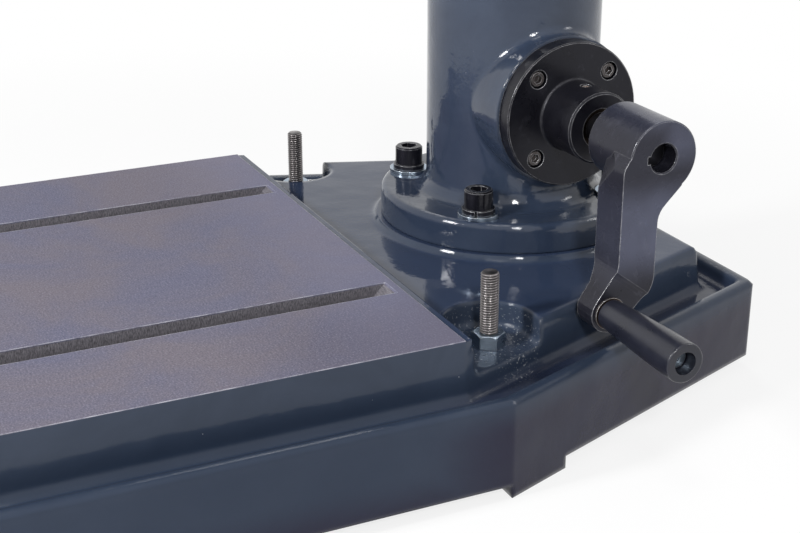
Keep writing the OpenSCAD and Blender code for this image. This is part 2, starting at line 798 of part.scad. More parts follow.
// Crank bearing
module bearing_flange() {
    hub_r = bearing_hub_d / 2;
    f = 2;
    bush_r = shaft_d / 2 + bush_wall;
    color(black_steel) sideways(crank_axis) difference() {
        rotate_extrude() polygon(concat(
            [[bush_r + fix, boss_x - spigot_l], [spigot_r - 1, boss_x - spigot_l],
             [spigot_r, boss_x - spigot_l + 1], [spigot_r, boss_x], [bearing_d / 2, boss_x],
             [bearing_d / 2, bearing_face - 1], [bearing_d / 2 - 1, bearing_face]],
            [for (a = [270:-18:180]) [hub_r + f + f * cos(a), bearing_face + f + f * sin(a)]],
            [[hub_r, hub_face - 1.5], [hub_r - 1.5, hub_face], [bush_r + fix, hub_face]]));
        bearing_screw_places() {
            translate([0, 0, boss_x - eps]) cylinder(d = 9, h = bearing_t + 2 * eps);
            translate([0, 0, bearing_face - 9]) cylinder(d = 15, h = 9 + eps);
        }
        translate([0, shaft_d / 2, oiler_x]) rotate([-90, 0, 0]) cylinder(d = oiler_d, h = hub_r);
    }
}

oiler_x = bearing_face + 18;
oiler_d = 9;

module flange_screws() {
    color(black_steel) sideways(crank_axis) bearing_screw_places()
        translate([0, 0, bearing_face - 9]) cap_screw(8, 22);
}

module crank_bush() {
    color(bronze) sideways(crank_axis + [boss_x - spigot_l, 0, 0])
        ring(shaft_d / 2 + bush_wall, shaft_d / 2 + run, hub_face - boss_x + spigot_l - 1);
}

module hub_oiler() {
    base_r = shaft_d / 2 + bush_wall + 0.4;
    r = oiler_d / 2;
    h = bearing_hub_d / 2 - base_r - 1;
    color(bronze) translate(crank_axis + [oiler_x, 0, base_r]) rotate_extrude()
        polygon([[0, 0], [r - run, 0], [r - run, h - 0.4], [r - 1.2, h], [r - 1.8, h - 1.2], [0, h - 1.2]]);
}

module crank_shaft() {
    r1 = crank_bore_d / 2 - 1;
    r2 = shaft_d / 2;
    r3 = crank_bore_d / 2;
    inner = bevel_r - bevel_face + 2;
    step = bevel_r + gear_hub_l;
    color(bright_steel) sideways(crank_axis) difference() {
        rotate_extrude() polygon([[0, inner], [r1 - 1, inner], [r1, inner + 1], [r1, step],
            [r2, step], [r2, crank_in - 2], [r3, crank_in - 1], [r3, shaft_end - 1],
            [r3 - 1, shaft_end], [0, shaft_end]]);
        block_at([-r3 - 1, -key_w / 2 - fix, crank_in + 4], [-r3 + 3.5, key_w / 2 + fix, shaft_end + 1]);
    }
}

module crank_key() {
    r3 = crank_bore_d / 2;
    color(bright_steel) sideways(crank_axis)
        block_at([-r3 - 2.6, -key_w / 2, crank_in + 5], [-r3 + 3.4, key_w / 2, shaft_end - 2]);
}

// Crank arm: hub, bar and handle boss in one plane, the bar stepped forward of the hub
arm_l = -34;
arm_r = arm_l + arm_w;
end_r = 15.5;
end_t = 23;
cove_r = 14;
end_dir = unit([-0.6, -0.8]);
end_side = [-end_dir.y, end_dir.x];
bend_l = 38.5;
bend_r = 21.5;

grub_d = 8;
grub_x = crank_in + 12;

module crank_arm() {
    hub_r = crank_hub_d / 2;
    front = [[hub_r * cos(118), hub_r * sin(118)], [arm_l, -5], [arm_l, bend_l - crank_r],
        handle_at - end_side * end_r, handle_at + (end_dir - end_side) * end_r,
        handle_at + (end_dir + end_side) * end_r, handle_at + end_side * end_r,
        [arm_r, bend_r - crank_r], [arm_r, -42], [hub_r * cos(-50), hub_r * sin(-50)], [0, 0]];
    planed_at = [arm_l, -5, crank_out - arm_t + 21.5];
    planed_lean = [0, 106, 164];
    color(black_steel) sideways(crank_axis) difference() {
        union() {
            rotate_extrude() polygon([[crank_bore_d / 2 + fix, crank_in], [hub_r - 1, crank_in],
                [hub_r, crank_in + 1], [hub_r, crank_out - 0.8], [hub_r - 0.8, crank_out],
                [crank_bore_d / 2 + fix + 1, crank_out], [crank_bore_d / 2 + fix, crank_out - 1]]);
            difference() {
                translate([0, 0, crank_out - arm_t]) linear_extrude(arm_t)
                    polygon(rounded(front, [2, 14, 24, 10, 15.4, 15.4, 10, 24, 18, 2, 2], 5));
                translate(planed_at) rotate(planed_lean) translate([-60, -60, 0]) cube([120, 120, 40]);
                translate([0, 0, crank_in]) cylinder(r = hub_r - 3, h = crank_hub_l + 1);
                rotate_extrude() polygon([[crank_r - 36, crank_out - arm_t - 1],
                    [crank_r - 36, crank_out - arm_t], [crank_r - end_r, crank_out - end_t],
                    [crank_r + 30, crank_out - end_t], [crank_r + 30, crank_out - arm_t - 1]]);
            }
        }
        translate([handle_at.x, handle_at.y, crank_out - seat_cut])
            rotate([0, 0, atan2(end_dir.y, end_dir.x)]) translate([-end_r - 5, 40, 0])
                rotate([90, 0, 0]) linear_extrude(80) polygon(concat(
                    [for (a = [270:-12:210]) cove_r * [cos(a), 1 + sin(a)]],
                    [[-cove_r, cove_r], [60, cove_r], [60, 0]]));
        translate([handle_at.x, handle_at.y, crank_out - arm_t - eps])
            cylinder(d = 10 + 2 * fix, h = arm_t + 2 * eps);
        block_at([-crank_bore_d / 2 - 3, -key_w / 2 - fix, crank_in - eps],
            [0, key_w / 2 + fix, crank_out + eps]);
        translate([0, 0, grub_x]) rotate([0, 90, 0]) cylinder(d = grub_d + 2 * fix, h = hub_r + 1);
    }
}

module crank_grub_screw() {
    color(black_steel) translate(crank_axis + [grub_x, crank_bore_d / 2 + 0.1, 0])
        rotate([-90, 0, 0]) difference() {
            cylinder(d = grub_d, h = 13);
            translate([0, 0, 8]) cylinder(d = 4.6, h = 6, $fn = 6);
        }
}

module at_handle(x) {
    sideways(crank_axis + [x, handle_at.x, handle_at.y]) children();
}

module grip_screw() {
    head_at = grip_l - grip_socket;
    color(zinc) at_handle(grip_x) difference() {
        union() {
            translate([0, 0, crank_out - end_t - grip_x + 1])
                cylinder(d = 10, h = head_at + grip_x - crank_out + end_t - 1);
            translate([0, 0, head_at]) cylinder(d = 15, h = 5);
        }
        translate([0, 0, head_at + 2.5]) cylinder(d = 6, h = 3, $fn = 6);
    }
}

module grip_washer() {
    color(bronze) at_handle(crank_out - seat_cut) ring(grip_root_d / 2 + 0.8, 5 + 0.2, washer_t);
}

module crank_grip() {
    r0 = grip_root_d / 2;
    r1 = grip_d / 2;
    color(black_plastic) at_handle(grip_x) rotate_extrude() polygon(concat(
        [[5 + 0.1, 0], [r0 - 1, 0], [r0, 1]],
        [for (k = [0:8]) [r0 + (r1 - r0) * sin(k / 8 * 78) / sin(78), 4 + (grip_l - 9) * k / 8]],
        [for (a = [0:30:90]) [r1 - 1.5 + 1.5 * cos(a), grip_l - 1.5 + 1.5 * sin(a)]],
        [[8.6, grip_l], [8.6, grip_l - grip_socket - 0.2], [5 + 0.1, grip_l - grip_socket - 0.2]]));
}

// Head casting and what is fixed to it
function head_plan(inset) = rounded(
    [[head_side - inset, -head_front + inset], [head_side - inset, throat - 120],
     [head_rear_r - inset, throat - 40], [-head_rear_r + inset, throat - 40],
     [-head_side + inset, throat - 120], [-head_side + inset, -head_front + inset]],
    [44 - inset, 30, 4, 4, 30, 44 - inset], 8);

module head_plan_slab(inset, z0, z1) {
    slab(head_plan(inset), z0, z1);
    translate([0, throat, z0]) cylinder(r = head_rear_r - inset, h = z1 - z0);
}

cavity_back = throat - tube_r - 26;
cover_y0 = 114;
cover_y1 = 214;

module head_casting() {
    color(paint) difference() {
        union() {
            head_plan_slab(0, head_z + 12, head_top);
            loft_head_foot();
            translate([0, 0, head_z - snout_l]) cylinder(d = snout_d, h = snout_l + 20);
            translate([0, 0, head_z - snout_l - 4]) cylinder(d1 = snout_d - 8, d2 = snout_d, h = 4.01);
            translate([0, 0, head_z - 14]) cylinder(d1 = snout_d, d2 = snout_d + 30, h = 15);
            sideways([head_side - 1, feed_y, feed_z])
                cylinder(d1 = feed_seat_d + 4, d2 = feed_seat_d, h = 7);
            sideways([-head_side - 6, feed_y, feed_z])
                cylinder(d1 = feed_seat_d - 4, d2 = feed_seat_d, h = 7);
        }
        translate([0, 0, head_z - snout_l - 5])
            cylinder(r = quill_r + run, h = sleeve_z - head_z + snout_l + 5.01);
        translate([0, 0, sleeve_z]) cylinder(r = 45 + fix, h = bearing_w);
        gear_cavity();
        lower_cavity();
        block_at([-head_side - 10, cover_y0 + 10, head_z + 50],
            [-head_side + 20, cover_y1 - 10, cavity_z - 60]);
        translate([0, throat, head_z - eps]) cylinder(r = tube_r + fix, h = tube_top - head_z + 1);
        sideways([-head_side - 10, feed_y, feed_z]) cylinder(d = feed_d + 2 * run, h = head_w + 20);
        sideways([-pinion_w / 2 - 1, feed_y, feed_z])
            cylinder(r = pinion_r + rack_m + 0.6, h = pinion_w + 2);
        translate([0, lay_y, cavity_z - 12]) cylinder(r = 17.5 + fix, h = 14);
        cover_screw_places() translate([0, 0, head_top - 24]) cylinder(d = 8 + 2 * fix, h = 26);
        translate([0, -head_front - 1, lock_z]) rotate([-90, 0, 0])
            cylinder(d = lock_d + 2 * run, h = head_front - quill_r + 2);
        for (s = [-1, 1]) {
            translate([s * speed_x, -head_front - 1, speed_z]) rotate([-90, 0, 0])
                cylinder(d = speed_d + 2 * run, h = 40);
        }
    }
}

// Hollow of the casting round the quill tube and the feed bearings
module lower_cavity() {
    wall = 14;
    z0 = head_z + wall;
    z1 = cavity_z - wall - 2;
    difference() {
        slab(rounded([[head_side - wall, -head_front + wall], [head_side - wall, cavity_back],
            [-head_side + wall, cavity_back], [-head_side + wall, -head_front + wall]], [30, 12, 12, 30]),
            z0, z1);
        translate([0, 0, z0 - 1]) cylinder(d = snout_d - 6, h = z1 - z0 + 2);
        sideways([-head_side, feed_y, feed_z]) cylinder(r = 32, h = head_w);
        translate([0, -head_front, lock_z]) rotate([-90, 0, 0]) cylinder(r = 16, h = head_front);
        translate([0, lay_y, z1 - 20]) cylinder(r = 26, h = 21);
    }
}

module loft_head_foot() {
    loft([head_plan(10), head_plan(0)], [head_z, head_z + 12.01]);
    translate([0, throat, head_z]) cylinder(r1 = head_rear_r - 10, r2 = head_rear_r, h = 12.01);
}

module gear_cavity() {
    slab(rounded([[head_side - 16, -head_front + 18], [head_side - 16, cavity_back],
        [-head_side + 16, cavity_back], [-head_side + 16, -head_front + 18]], [26, 12, 12, 26]),
        sleeve_z + bearing_w - 0.01, head_top + eps);
    translate([0, lay_y, cavity_z]) cylinder(r = 50, h = 40);
}

module cover_screw_places() {
    for (p = [[head_side - 9, -head_front + 48], [head_side - 9, 48], [head_side - 9, 150],
            [62, throat + 52]]) {
        both_sides() translate([p.x, p.y, 0]) children();
    }
}

module top_cover() {
    color(paint) difference() {
        union() {
            loft([head_plan(0), head_plan(0), head_plan(3)], [head_top, cover_top - 3, cover_top]);
            translate([0, throat, head_top]) cylinder(r = head_rear_r, h = cover_t - 3);
            translate([0, throat, cover_top - 3.01])
                cylinder(r1 = head_rear_r, r2 = head_rear_r - 3, h = 3.01);
        }
        translate([0, 0, head_top - eps]) cylinder(d = spline_d + 8, h = cover_t + 2 * eps);
        translate([0, motor_y, head_top - eps]) cylinder(r = 26 + fix, h = cover_t + 2 * eps);
        translate([0, lay_y, head_top - eps]) cylinder(r = 17.5 + fix, h = 9 + eps);
        for (a = [45:90:315]) {
            translate([0, motor_y, cover_top - 13]) rotate([0, 0, a]) translate([motor_screw_r, 0, 0])
                cylinder(d = 8 + 2 * fix, h = 14);
        }
        cover_screw_places() {
            translate([0, 0, head_top - eps]) cylinder(d = 9, h = cover_t + 2 * eps);
            translate([0, 0, cover_top - 8.6]) cylinder(d = 15, h = 10);
        }
    }
}

cover_screw_l = 26;

module cover_screws() {
    color(black_steel) cover_screw_places() translate([0, 0, cover_top - 8.6]) cap_screw(8, cover_screw_l);
}

module spindle_cap() {
    color(paint) translate([0, 0, cover_top]) difference() {
        rotate_extrude() polygon(concat([[0, 0], [40, 0], [40, 6], [33, 8], [29, 14]],
            [for (a = [0:15:90]) [17 + 12 * cos(a), cap_h - 12 + 12 * sin(a)]], [[0, cap_h]]));
        translate([0, 0, -eps]) cylinder(r = 23, h = cap_h - 5);
    }
}

// Motor
motor_fins = 32;

module motor_body() {
    z0 = cover_top;
    r = motor_d / 2;
    color(paint) translate([0, motor_y, z0]) difference() {
        union() {
            rotate_extrude() polygon([[0, 0], [motor_flange_r, 0],
                [motor_flange_r, 11], [motor_flange_r - 1, 12], [r - 5, 12], [r - 9, 26],
                [r - 9, motor_l - 10], [r - 4, motor_l - 6], [r - 4, motor_l], [0, motor_l]]);
            for (i = [0:motor_fins - 1]) {
                rotate([0, 0, i * 360 / motor_fins]) block_at([r - 14, -1.4, 24], [r, 1.4, motor_l - 8]);
            }
            block_at([r - 30, -box_half - 2, box_up - box_half], [r + 8, box_half + 2, box_up + box_half]);
        }
        translate([0, 0, -eps]) cylinder(r = 26, h = 20);
        translate([0, 0, 15]) cylinder(r = 40, h = motor_l - 30);
        translate([0, 0, motor_l - 20]) cylinder(r = 15, h = 40);
        for (a = [45:90:315]) {
            rotate([0, 0, a]) translate([motor_screw_r, 0, -eps]) cylinder(d = 9, h = 13);
        }
    }
}

module motor_fan_cover() {
    r = motor_d / 2 - 1;
    h = 58;
    color(paint) translate([0, motor_y, cover_top + motor_l]) difference() {
        rotate_extrude() polygon(concat([[0, 0], [r, 0]],
            [for (a = [0:18:90]) [r - 14 + 14 * cos(a), h - 14 + 14 * sin(a)]], [[0, h]]));
        rotate_extrude() polygon(concat([[0, -eps], [r - 3, -eps]],
            [for (a = [0:18:90]) [r - 14 + 11 * cos(a), h - 14 + 10.5 * sin(a)]], [[0, h - 3.5]]));
        for (k = [0:3]) {
            for (a = [0:45:315]) {
                rotate([0, 0, a + 6]) translate([22 + 13 * k, 0, h - 6]) cylinder(d = 7, h = 12);
            }
        }
    }
}

module terminal_box() {
    r = motor_d / 2;
    color(pale_paint) translate([r + 8, motor_y, cover_top + box_up]) sideways([0, 0, 0]) difference() {
        slab(rounded(box_half * [[1, -1], [1, 1], [-1, 1], [-1, -1]], [8, 8, 8, 8], 5), 0, box_deep);
        translate([0, 0, box_deep - 3]) difference() {
            block_at([-box_half - 5, -box_half - 5, 0], [box_half + 5, box_half + 5, 1.2]);
            block_at([-box_half + 1.5, -box_half + 1.5, -1], [box_half - 1.5, box_half - 1.5, 3]);
        }
    }
}

module motor_screws() {
    color(black_steel) translate([0, motor_y, cover_top + 12]) for (a = [45:90:315]) {
        rotate([0, 0, a]) translate([motor_screw_r, 0, 0]) cap_screw(8, 24);
    }
}

module motor_shaft() {
    pinion_top = gear2_z + gear2_w;
    color(bright_steel) translate([0, motor_y, 0]) {
        translate([0, 0, gear2_z - 1]) cylinder(r = 9, h = cover_top + motor_l + 12 - gear2_z);
        translate([0, 0, gear2_z]) linear_extrude(gear2_w)
            polygon(gear_outline(drive_m, motor_z, 180 / motor_z, play));
        translate([0, 0, cover_top + 30]) cylinder(r = 36, h = motor_l - 60);
        translate([0, 0, cover_top + motor_l + 8]) cylinder(r = 24, h = 8);
        for (a = [0:60:300]) {
            rotate([0, 0, a]) translate([0, 0, cover_top + motor_l + 8])
                block_at([10, -1.5, 0], [62, 1.5, 34]);
        }
    }
}

// Gear train
module lay_shaft() {
    color(bright_steel) translate([0, lay_y, cavity_z - 10])
        cylinder(r = 10, h = head_top + 8 - cavity_z + 10);
}

module lay_gears() {
    color(bright_steel) translate([0, lay_y, 0]) difference() {
        union() {
            translate([0, 0, gear1_z]) linear_extrude(gear1_w)
                polygon(gear_outline(drive_m, lay_small_z, 180 / lay_small_z, play));
            translate([0, 0, gear2_z]) linear_extrude(gear2_w)
                polygon(gear_outline(drive_m, lay_large_z, 90, play));
            translate([0, 0, gear1_z + gear1_w - 1]) cylinder(r = 24, h = gear2_z - gear1_z - gear1_w + 2);
        }
        translate([0, 0, gear1_z - eps]) cylinder(r = 10 + fix, h = gear2_z + gear2_w - gear1_z + 2 * eps);
    }
}

module drive_sleeve() {
    color(bright_steel) difference() {
        union() {
            translate([0, 0, sleeve_z]) cylinder(r = sleeve_r_out, h = gear1_z + gear1_w + 4 - sleeve_z);
            translate([0, 0, gear1_z]) linear_extrude(gear1_w)
                polygon(gear_outline(drive_m, spindle_z, 90, play));
        }
        translate([0, 0, sleeve_z - eps]) cylinder(d = spline_d + 2 * run, h = 80);
    }
}

module sleeve_bearing() {
    color(bright_steel) translate([0, 0, sleeve_z]) ring(45, sleeve_r_out + run, bearing_w - 0.5);
}

module shaft_bearings() {
    color(bright_steel) {
        translate([0, lay_y, cavity_z - 12]) ring(17.5, 10 + run, 11);
        translate([0, lay_y, head_top]) ring(17.5, 10 + run, 9);
        translate([0, motor_y, head_top]) ring(26, 9 + run, cover_t - 1);
    }
}

// Quill with its rack, and the spindle in it
module quill() {
    pitch = PI * rack_m;
    tip = rack_line + rack_m;
    root = rack_line - 1.25 * rack_m;
    slope = tan(20);
    half_gap = pitch / 4 + play;
    teeth = floor((quill_top - feed_z - 4) / pitch) + 1;
    color(bright_steel) difference() {
        translate([0, 0, quill_z]) cylinder(r = quill_r, h = quill_top - quill_z);
        block_at([-pinion_w / 2 - 1, tip, feed_z - 24], [pinion_w / 2 + 1, quill_r + 1, quill_top + 1]);
        for (i = [-1:teeth - 1]) {
            sideways([-pinion_w / 2 - 1, 0, feed_z + i * pitch]) linear_extrude(pinion_w + 2)
                polygon([[tip + 1, -half_gap - slope * (rack_m + 1)],
                    [tip + 1, half_gap + slope * (rack_m + 1)],
                    [root, half_gap - slope * 1.25 * rack_m], [root, -half_gap + slope * 1.25 * rack_m]]);
        }
        translate([0, 0, quill_z - eps]) cylinder(r = 21, h = quill_top - quill_z + 1);
        translate([0, 0, quill_z - eps]) cylinder(r = 31 + fix, h = 36 + eps);
        translate([0, 0, quill_top - 16]) cylinder(r = 27.5 + fix, h = 17);
        drift_slot(quill_r + 1);
    }
}

// Slot for the wedge that knocks the tool out of the taper
module drift_slot(reach) {
    block_at([-6, -reach, quill_z + socket_l - 38], [6, reach, quill_z + socket_l - 4]);
}

module quill_bearings() {
    color(bright_steel) {
        translate([0, 0, quill_z]) ring(31, 20 + run, 35.5);
        translate([0, 0, quill_top - 16]) ring(27.5, spline_d / 2 + 2 + run, 15);
    }
}

module spindle() {
    color(bright_steel) difference() {
        rotate_extrude() polygon([[0, quill_z - nose_l], [nose_d / 2 - 1.5, quill_z - nose_l],
            [nose_d / 2, quill_z - nose_l + 1.5], [nose_d / 2, quill_z - 0.5], [20, quill_z - 0.5],
            [20, quill_z + 150], [spline_d / 2 + 2, quill_z + 160], [spline_d / 2 + 2, quill_top],
            [spline_d / 2, quill_top], [spline_d / 2, spline_top - 1], [spline_d / 2 - 1, spline_top],
            [0, spline_top]]);
        translate([0, 0, quill_z - nose_l - 0.01])
            cylinder(d1 = taper_d, d2 = taper_d - socket_l / 19.254, h = socket_l);
        drift_slot(nose_d / 2);
    }
}

// Quill feed
module feed_shaft() {
    color(bright_steel) translate([0, feed_y, feed_z]) rotate([90, 0, 90]) {
        translate([0, 0, -head_side - 30]) cylinder(d = feed_d, h = head_side + 30 + hub_x + 48);
        translate([0, 0, -pinion_w / 2]) linear_extrude(pinion_w)
            polygon(gear_outline(rack_m, pinion_z, 0, play));
    }
}

hub_x = head_side + 24;
spoke_count = 3;
spoke_l = 190;
spoke_tilt = 12;
spoke_phase = 30;

dial_d = 108;
dial_l = 16;

module depth_dial() {
    color(bright_steel) sideways([head_side + 7, feed_y, feed_z]) difference() {
        rotate_extrude() polygon([[feed_d / 2 + fix, 0], [dial_d / 2 - 1, 0], [dial_d / 2, 1],
            [dial_d / 2 - 4, dial_l - 2], [dial_d / 2 - 7, dial_l], [feed_d / 2 + fix, dial_l]]);
        for (a = [0:10:350]) {
            rotate([0, 0, a]) block_at([dial_d / 2 - 0.7, -0.4, -1], [dial_d / 2 + 1, 0.4, 3]);
        }
    }
}

module feed_hub() {
    color(black_steel) sideways([hub_x, feed_y, feed_z]) difference() {
        rotate_extrude() polygon([[feed_d / 2 + fix, 0], [38, 0], [42, 4], [42, 12], [34, 22], [30, 50],
            [26, 54], [feed_d / 2 + 6, 54], [feed_d / 2 + 6, 50], [feed_d / 2 + fix, 50]]);
        spoke_places() cylinder(d = 14 + 2 * fix, h = 60);
    }
}

module spoke_places() {
    for (i = [0:spoke_count - 1]) {
        rotate([0, 0, spoke_phase + i * 360 / spoke_count]) translate([17, 0, 26])
            rotate([0, 90 - spoke_tilt, 0]) children();
    }
}

module feed_levers() {
    color(bright_steel) sideways([hub_x, feed_y, feed_z]) spoke_places() {
        cylinder(d = 14, h = spoke_l);
        translate([0, 0, 22])
            rotate_extrude() polygon([[0, 0], [10, 0], [11, 2], [11, 10], [9, 14], [0, 14]]);
    }
}

module feed_knobs() {
    color(black_plastic) sideways([hub_x, feed_y, feed_z]) spoke_places() translate([0, 0, spoke_l])
        difference() {
            translate([0, 0, 14]) sphere(r = 19);
            translate([0, 0, -20]) cylinder(r = 30, h = 20);
        }
}

module spring_housing() {
    color(black_steel) translate([-head_side - 6, feed_y, feed_z]) rotate([90, 0, -90]) difference() {
        rotate_extrude() polygon([[0, 0], [46, 0], [50, 3], [50, 24], [46, 30], [18, 32], [16, 36],
            [0, 36]]);
        translate([0, 0, -eps]) cylinder(r = 40, h = 26);
        for (a = [0:60:300]) {
            rotate([0, 0, a]) translate([34, 0, 28]) cylinder(d = 6, h = 10);
        }
    }
}

// Hand levers
module ball_lever(l, arm_d, ball_r) {
    cylinder(d1 = arm_d + 2, d2 = arm_d - 1, h = l);
    translate([0, 0, l + ball_r - 2]) sphere(r = ball_r);
}

module column_clamp_lever() {
    color(black_steel) translate([clamp_x, throat + clamp_lug_y, clamp_z]) mirror([0, 1, 0]) {
        rotate([-90, 0, 0]) translate([0, 0, -1]) cylinder(d = clamp_d, h = 2 * clamp_lug_y + 3);
        translate([0, 2 * clamp_lug_y, 0]) rotate([-90, 0, 0]) cylinder(d = clamp_nut_d, h = 12, $fn = 6);
        rotate([90, 0, 0]) rotate_extrude() polygon([[0, 0], [13, 0], [14, 1], [14, 18], [12, 22], [0, 22]]);
        translate([0, -12, 0]) rotate([18, 62, 0]) ball_lever(112, 13, 14);
    }
}

lock_z = head_z + 24;
lock_d = 14;

module quill_lock_lever() {
    color(black_steel) translate([0, -head_front, lock_z]) {
        rotate([-90, 0, 0]) translate([0, 0, -1]) cylinder(d = lock_d, h = head_front - quill_r);
        rotate([90, 0, 0]) rotate_extrude() polygon([[0, 0], [11, 0], [12, 1], [12, 15], [9, 18], [0, 18]]);
        translate([0, -9, 0]) rotate([0, 0, -10]) rotate([0, 100, 0]) ball_lever(70, 10, 11);
    }
}

speed_x = 58;
speed_z = head_top - 62;
speed_d = 16;

module speed_lever(x, lean) {
    color(black_steel) translate([x, -head_front, speed_z]) {
        rotate([-90, 0, 0]) translate([0, 0, -1]) cylinder(d = speed_d, h = 34);
        rotate([90, 0, 0]) rotate_extrude() polygon([[0, 0], [25, 0], [26, 1], [26, 8], [15, 14], [14, 24],
            [11, 26], [0, 26]]);
        translate([0, -17, 0]) rotate([12, lean, 0]) ball_lever(64, 11, 13);
    }
}

module speed_lever_left() {
    speed_lever(-speed_x, 0);
}

module speed_lever_right() {
    speed_lever(speed_x, 0);
}

// Controls
panel_z = head_z + 128;
panel_h = 74;
panel_w = 140;
panel_t = 22;
control_face = -head_front - panel_t;

module control_panel() {
    color(pale_paint) difference() {
        translate([0, -head_front, panel_z]) rotate([90, 0, 0])
            slab(rounded([[panel_w / 2, -panel_h / 2], [panel_w / 2, panel_h / 2],
                [-panel_w / 2, panel_h / 2], [-panel_w / 2, -panel_h / 2]], [8, 8, 8, 8], 5), 0, panel_t);
        for (x = [-45, 0, 45]) {
            translate([x, control_face - 1, panel_z]) rotate([-90, 0, 0]) cylinder(d = 22.6, h = 19);
        }
    }
}

module at_control(x) {
    translate([x, control_face, panel_z]) rotate([90, 0, 0]) children();
}

module mode_switch() {
    color(black_plastic) at_control(-45) {
        translate([0, 0, -17]) cylinder(d = 22, h = 17);
        translate([0, 0, 0.3]) cylinder(d = 29, h = 4);
        translate([0, 0, -1]) cylinder(d = 20, h = 3);
        block_at([-4, -13, 4], [4, 13, 17]);
    }
}

module start_button() {
    color([0.1, 0.5, 0.2]) at_control(0) {
        translate([0, 0, -12]) rotate_extrude() polygon([[0, 0], [11, 0], [11, 15], [10, 16.5], [0, 17]]);
    }
}

module stop_button() {
    color([0.75, 0.08, 0.06]) at_control(45) {
        translate([0, 0, -11]) cylinder(d = 22, h = 20);
        translate([0, 0, 8]) rotate_extrude() polygon(concat([[0, 0], [17, 0]],
            [for (a = [0:18:90]) [20 * cos(a), 3 + 8 * sin(a)]]));
    }
}

gauge_y = 150;
gauge_z = head_top - 75;

module oil_gauge() {
    color(bronze) sideways([head_side, gauge_y, gauge_z]) difference() {
        rotate_extrude() polygon([[0, 0], [19, 0], [19, 5], [17, 7], [12, 7], [12, 4], [0, 4]]);
    }
}

module side_cover() {
    y0 = cover_y0;
    y1 = cover_y1;
    z0 = head_z + 38;
    z1 = cavity_z - 48;
    color(paint) translate([-head_side, 0, 0]) rotate([90, 0, -90]) difference() {
        slab(rounded([[-y0, z0], [-y0, z1], [-y1, z1], [-y1, z0]], [12, 12, 12, 12], 5), 0, 6);
        for (y = [y0 + 8, y1 - 8]) {
            for (z = [z0 + 8, z1 - 8]) {
                translate([-y, z, 3.5]) cylinder(d = 10, h = 5);
            }
        }
    }
}

base_casting();
anchor_studs();
anchor_nuts();
column_sleeve();
column_screws();
column_spring_washers();
column_flat_washers();
screw_housing();
thrust_bearing();
guide_key();
bearing_flange();
flange_screws();
crank_bush();
hub_oiler();
crank_shaft();
bevel_pinion();
crank_key();
crank_arm();
crank_grub_screw();
grip_screw();
grip_washer();
crank_grip();
lift_screw();
bevel_wheel();
lift_nut();
lift_column();
head_casting();
top_cover();
cover_screws();
spindle_cap();
motor_body();
motor_fan_cover();
terminal_box();
motor_screws();
motor_shaft();
lay_shaft();
lay_gears();
drive_sleeve();
sleeve_bearing();
shaft_bearings();
quill();
quill_bearings();
spindle();
feed_shaft();
feed_hub();
feed_levers();
feed_knobs();
depth_dial();
spring_housing();
column_clamp_lever();
quill_lock_lever();
speed_lever_left();
speed_lever_right();
control_panel();
mode_switch();
start_button();
stop_button();
oil_gauge();
side_cover();
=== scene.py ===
import json
import math

import bpy
from mathutils import Matrix, Vector


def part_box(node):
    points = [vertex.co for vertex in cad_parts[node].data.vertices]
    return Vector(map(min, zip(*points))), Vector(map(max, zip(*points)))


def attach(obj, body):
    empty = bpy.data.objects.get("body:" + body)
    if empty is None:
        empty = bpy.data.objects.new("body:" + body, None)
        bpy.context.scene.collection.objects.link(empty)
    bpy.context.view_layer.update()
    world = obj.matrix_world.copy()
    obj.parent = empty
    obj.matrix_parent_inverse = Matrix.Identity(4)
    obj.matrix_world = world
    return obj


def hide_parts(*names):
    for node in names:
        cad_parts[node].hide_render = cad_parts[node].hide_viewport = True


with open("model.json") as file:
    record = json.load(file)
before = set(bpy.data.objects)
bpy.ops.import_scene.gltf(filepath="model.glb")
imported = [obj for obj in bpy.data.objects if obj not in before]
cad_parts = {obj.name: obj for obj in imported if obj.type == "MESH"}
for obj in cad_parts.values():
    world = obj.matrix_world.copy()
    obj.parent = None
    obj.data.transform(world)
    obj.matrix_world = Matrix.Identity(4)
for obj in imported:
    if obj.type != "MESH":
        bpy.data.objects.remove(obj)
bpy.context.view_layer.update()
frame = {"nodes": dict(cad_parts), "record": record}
cad = frame["nodes"]
scene = bpy.context.scene

# Places on the machine in metres, as the construction has them. The table face is at z = 0.
FLOOR_Z = -0.112
FACE_LOW = -0.0006
SLOT_X = 0.129
SLOT_HALF = 0.0187
SLOT_END = 0.1645
SLOT_LOW = -0.0345
SLOT_WALL_TOP = -0.0012
POCKET_TOP = -0.012
POCKET_RADIUS = 0.042
POCKET_FADE = 0.030
STUD_X = 0.195
STUD_Y = 0.213
STUD_RADIUS = 0.007
STUD_TOP = 0.029
STUD_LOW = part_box("anchor_studs")[0].z
STUD_MIDDLE = (STUD_LOW + STUD_TOP) / 2
THREAD_PITCH = 0.002
THREAD_DEPTH = 0.0011


def linked(obj):
    scene.collection.objects.link(obj)
    return obj


# ---------- node trees ----------

# Layout of the nodes in the editor
NODES_IN_A_ROW = 12
NODE_WIDTH = 180
NODE_HEIGHT = 220


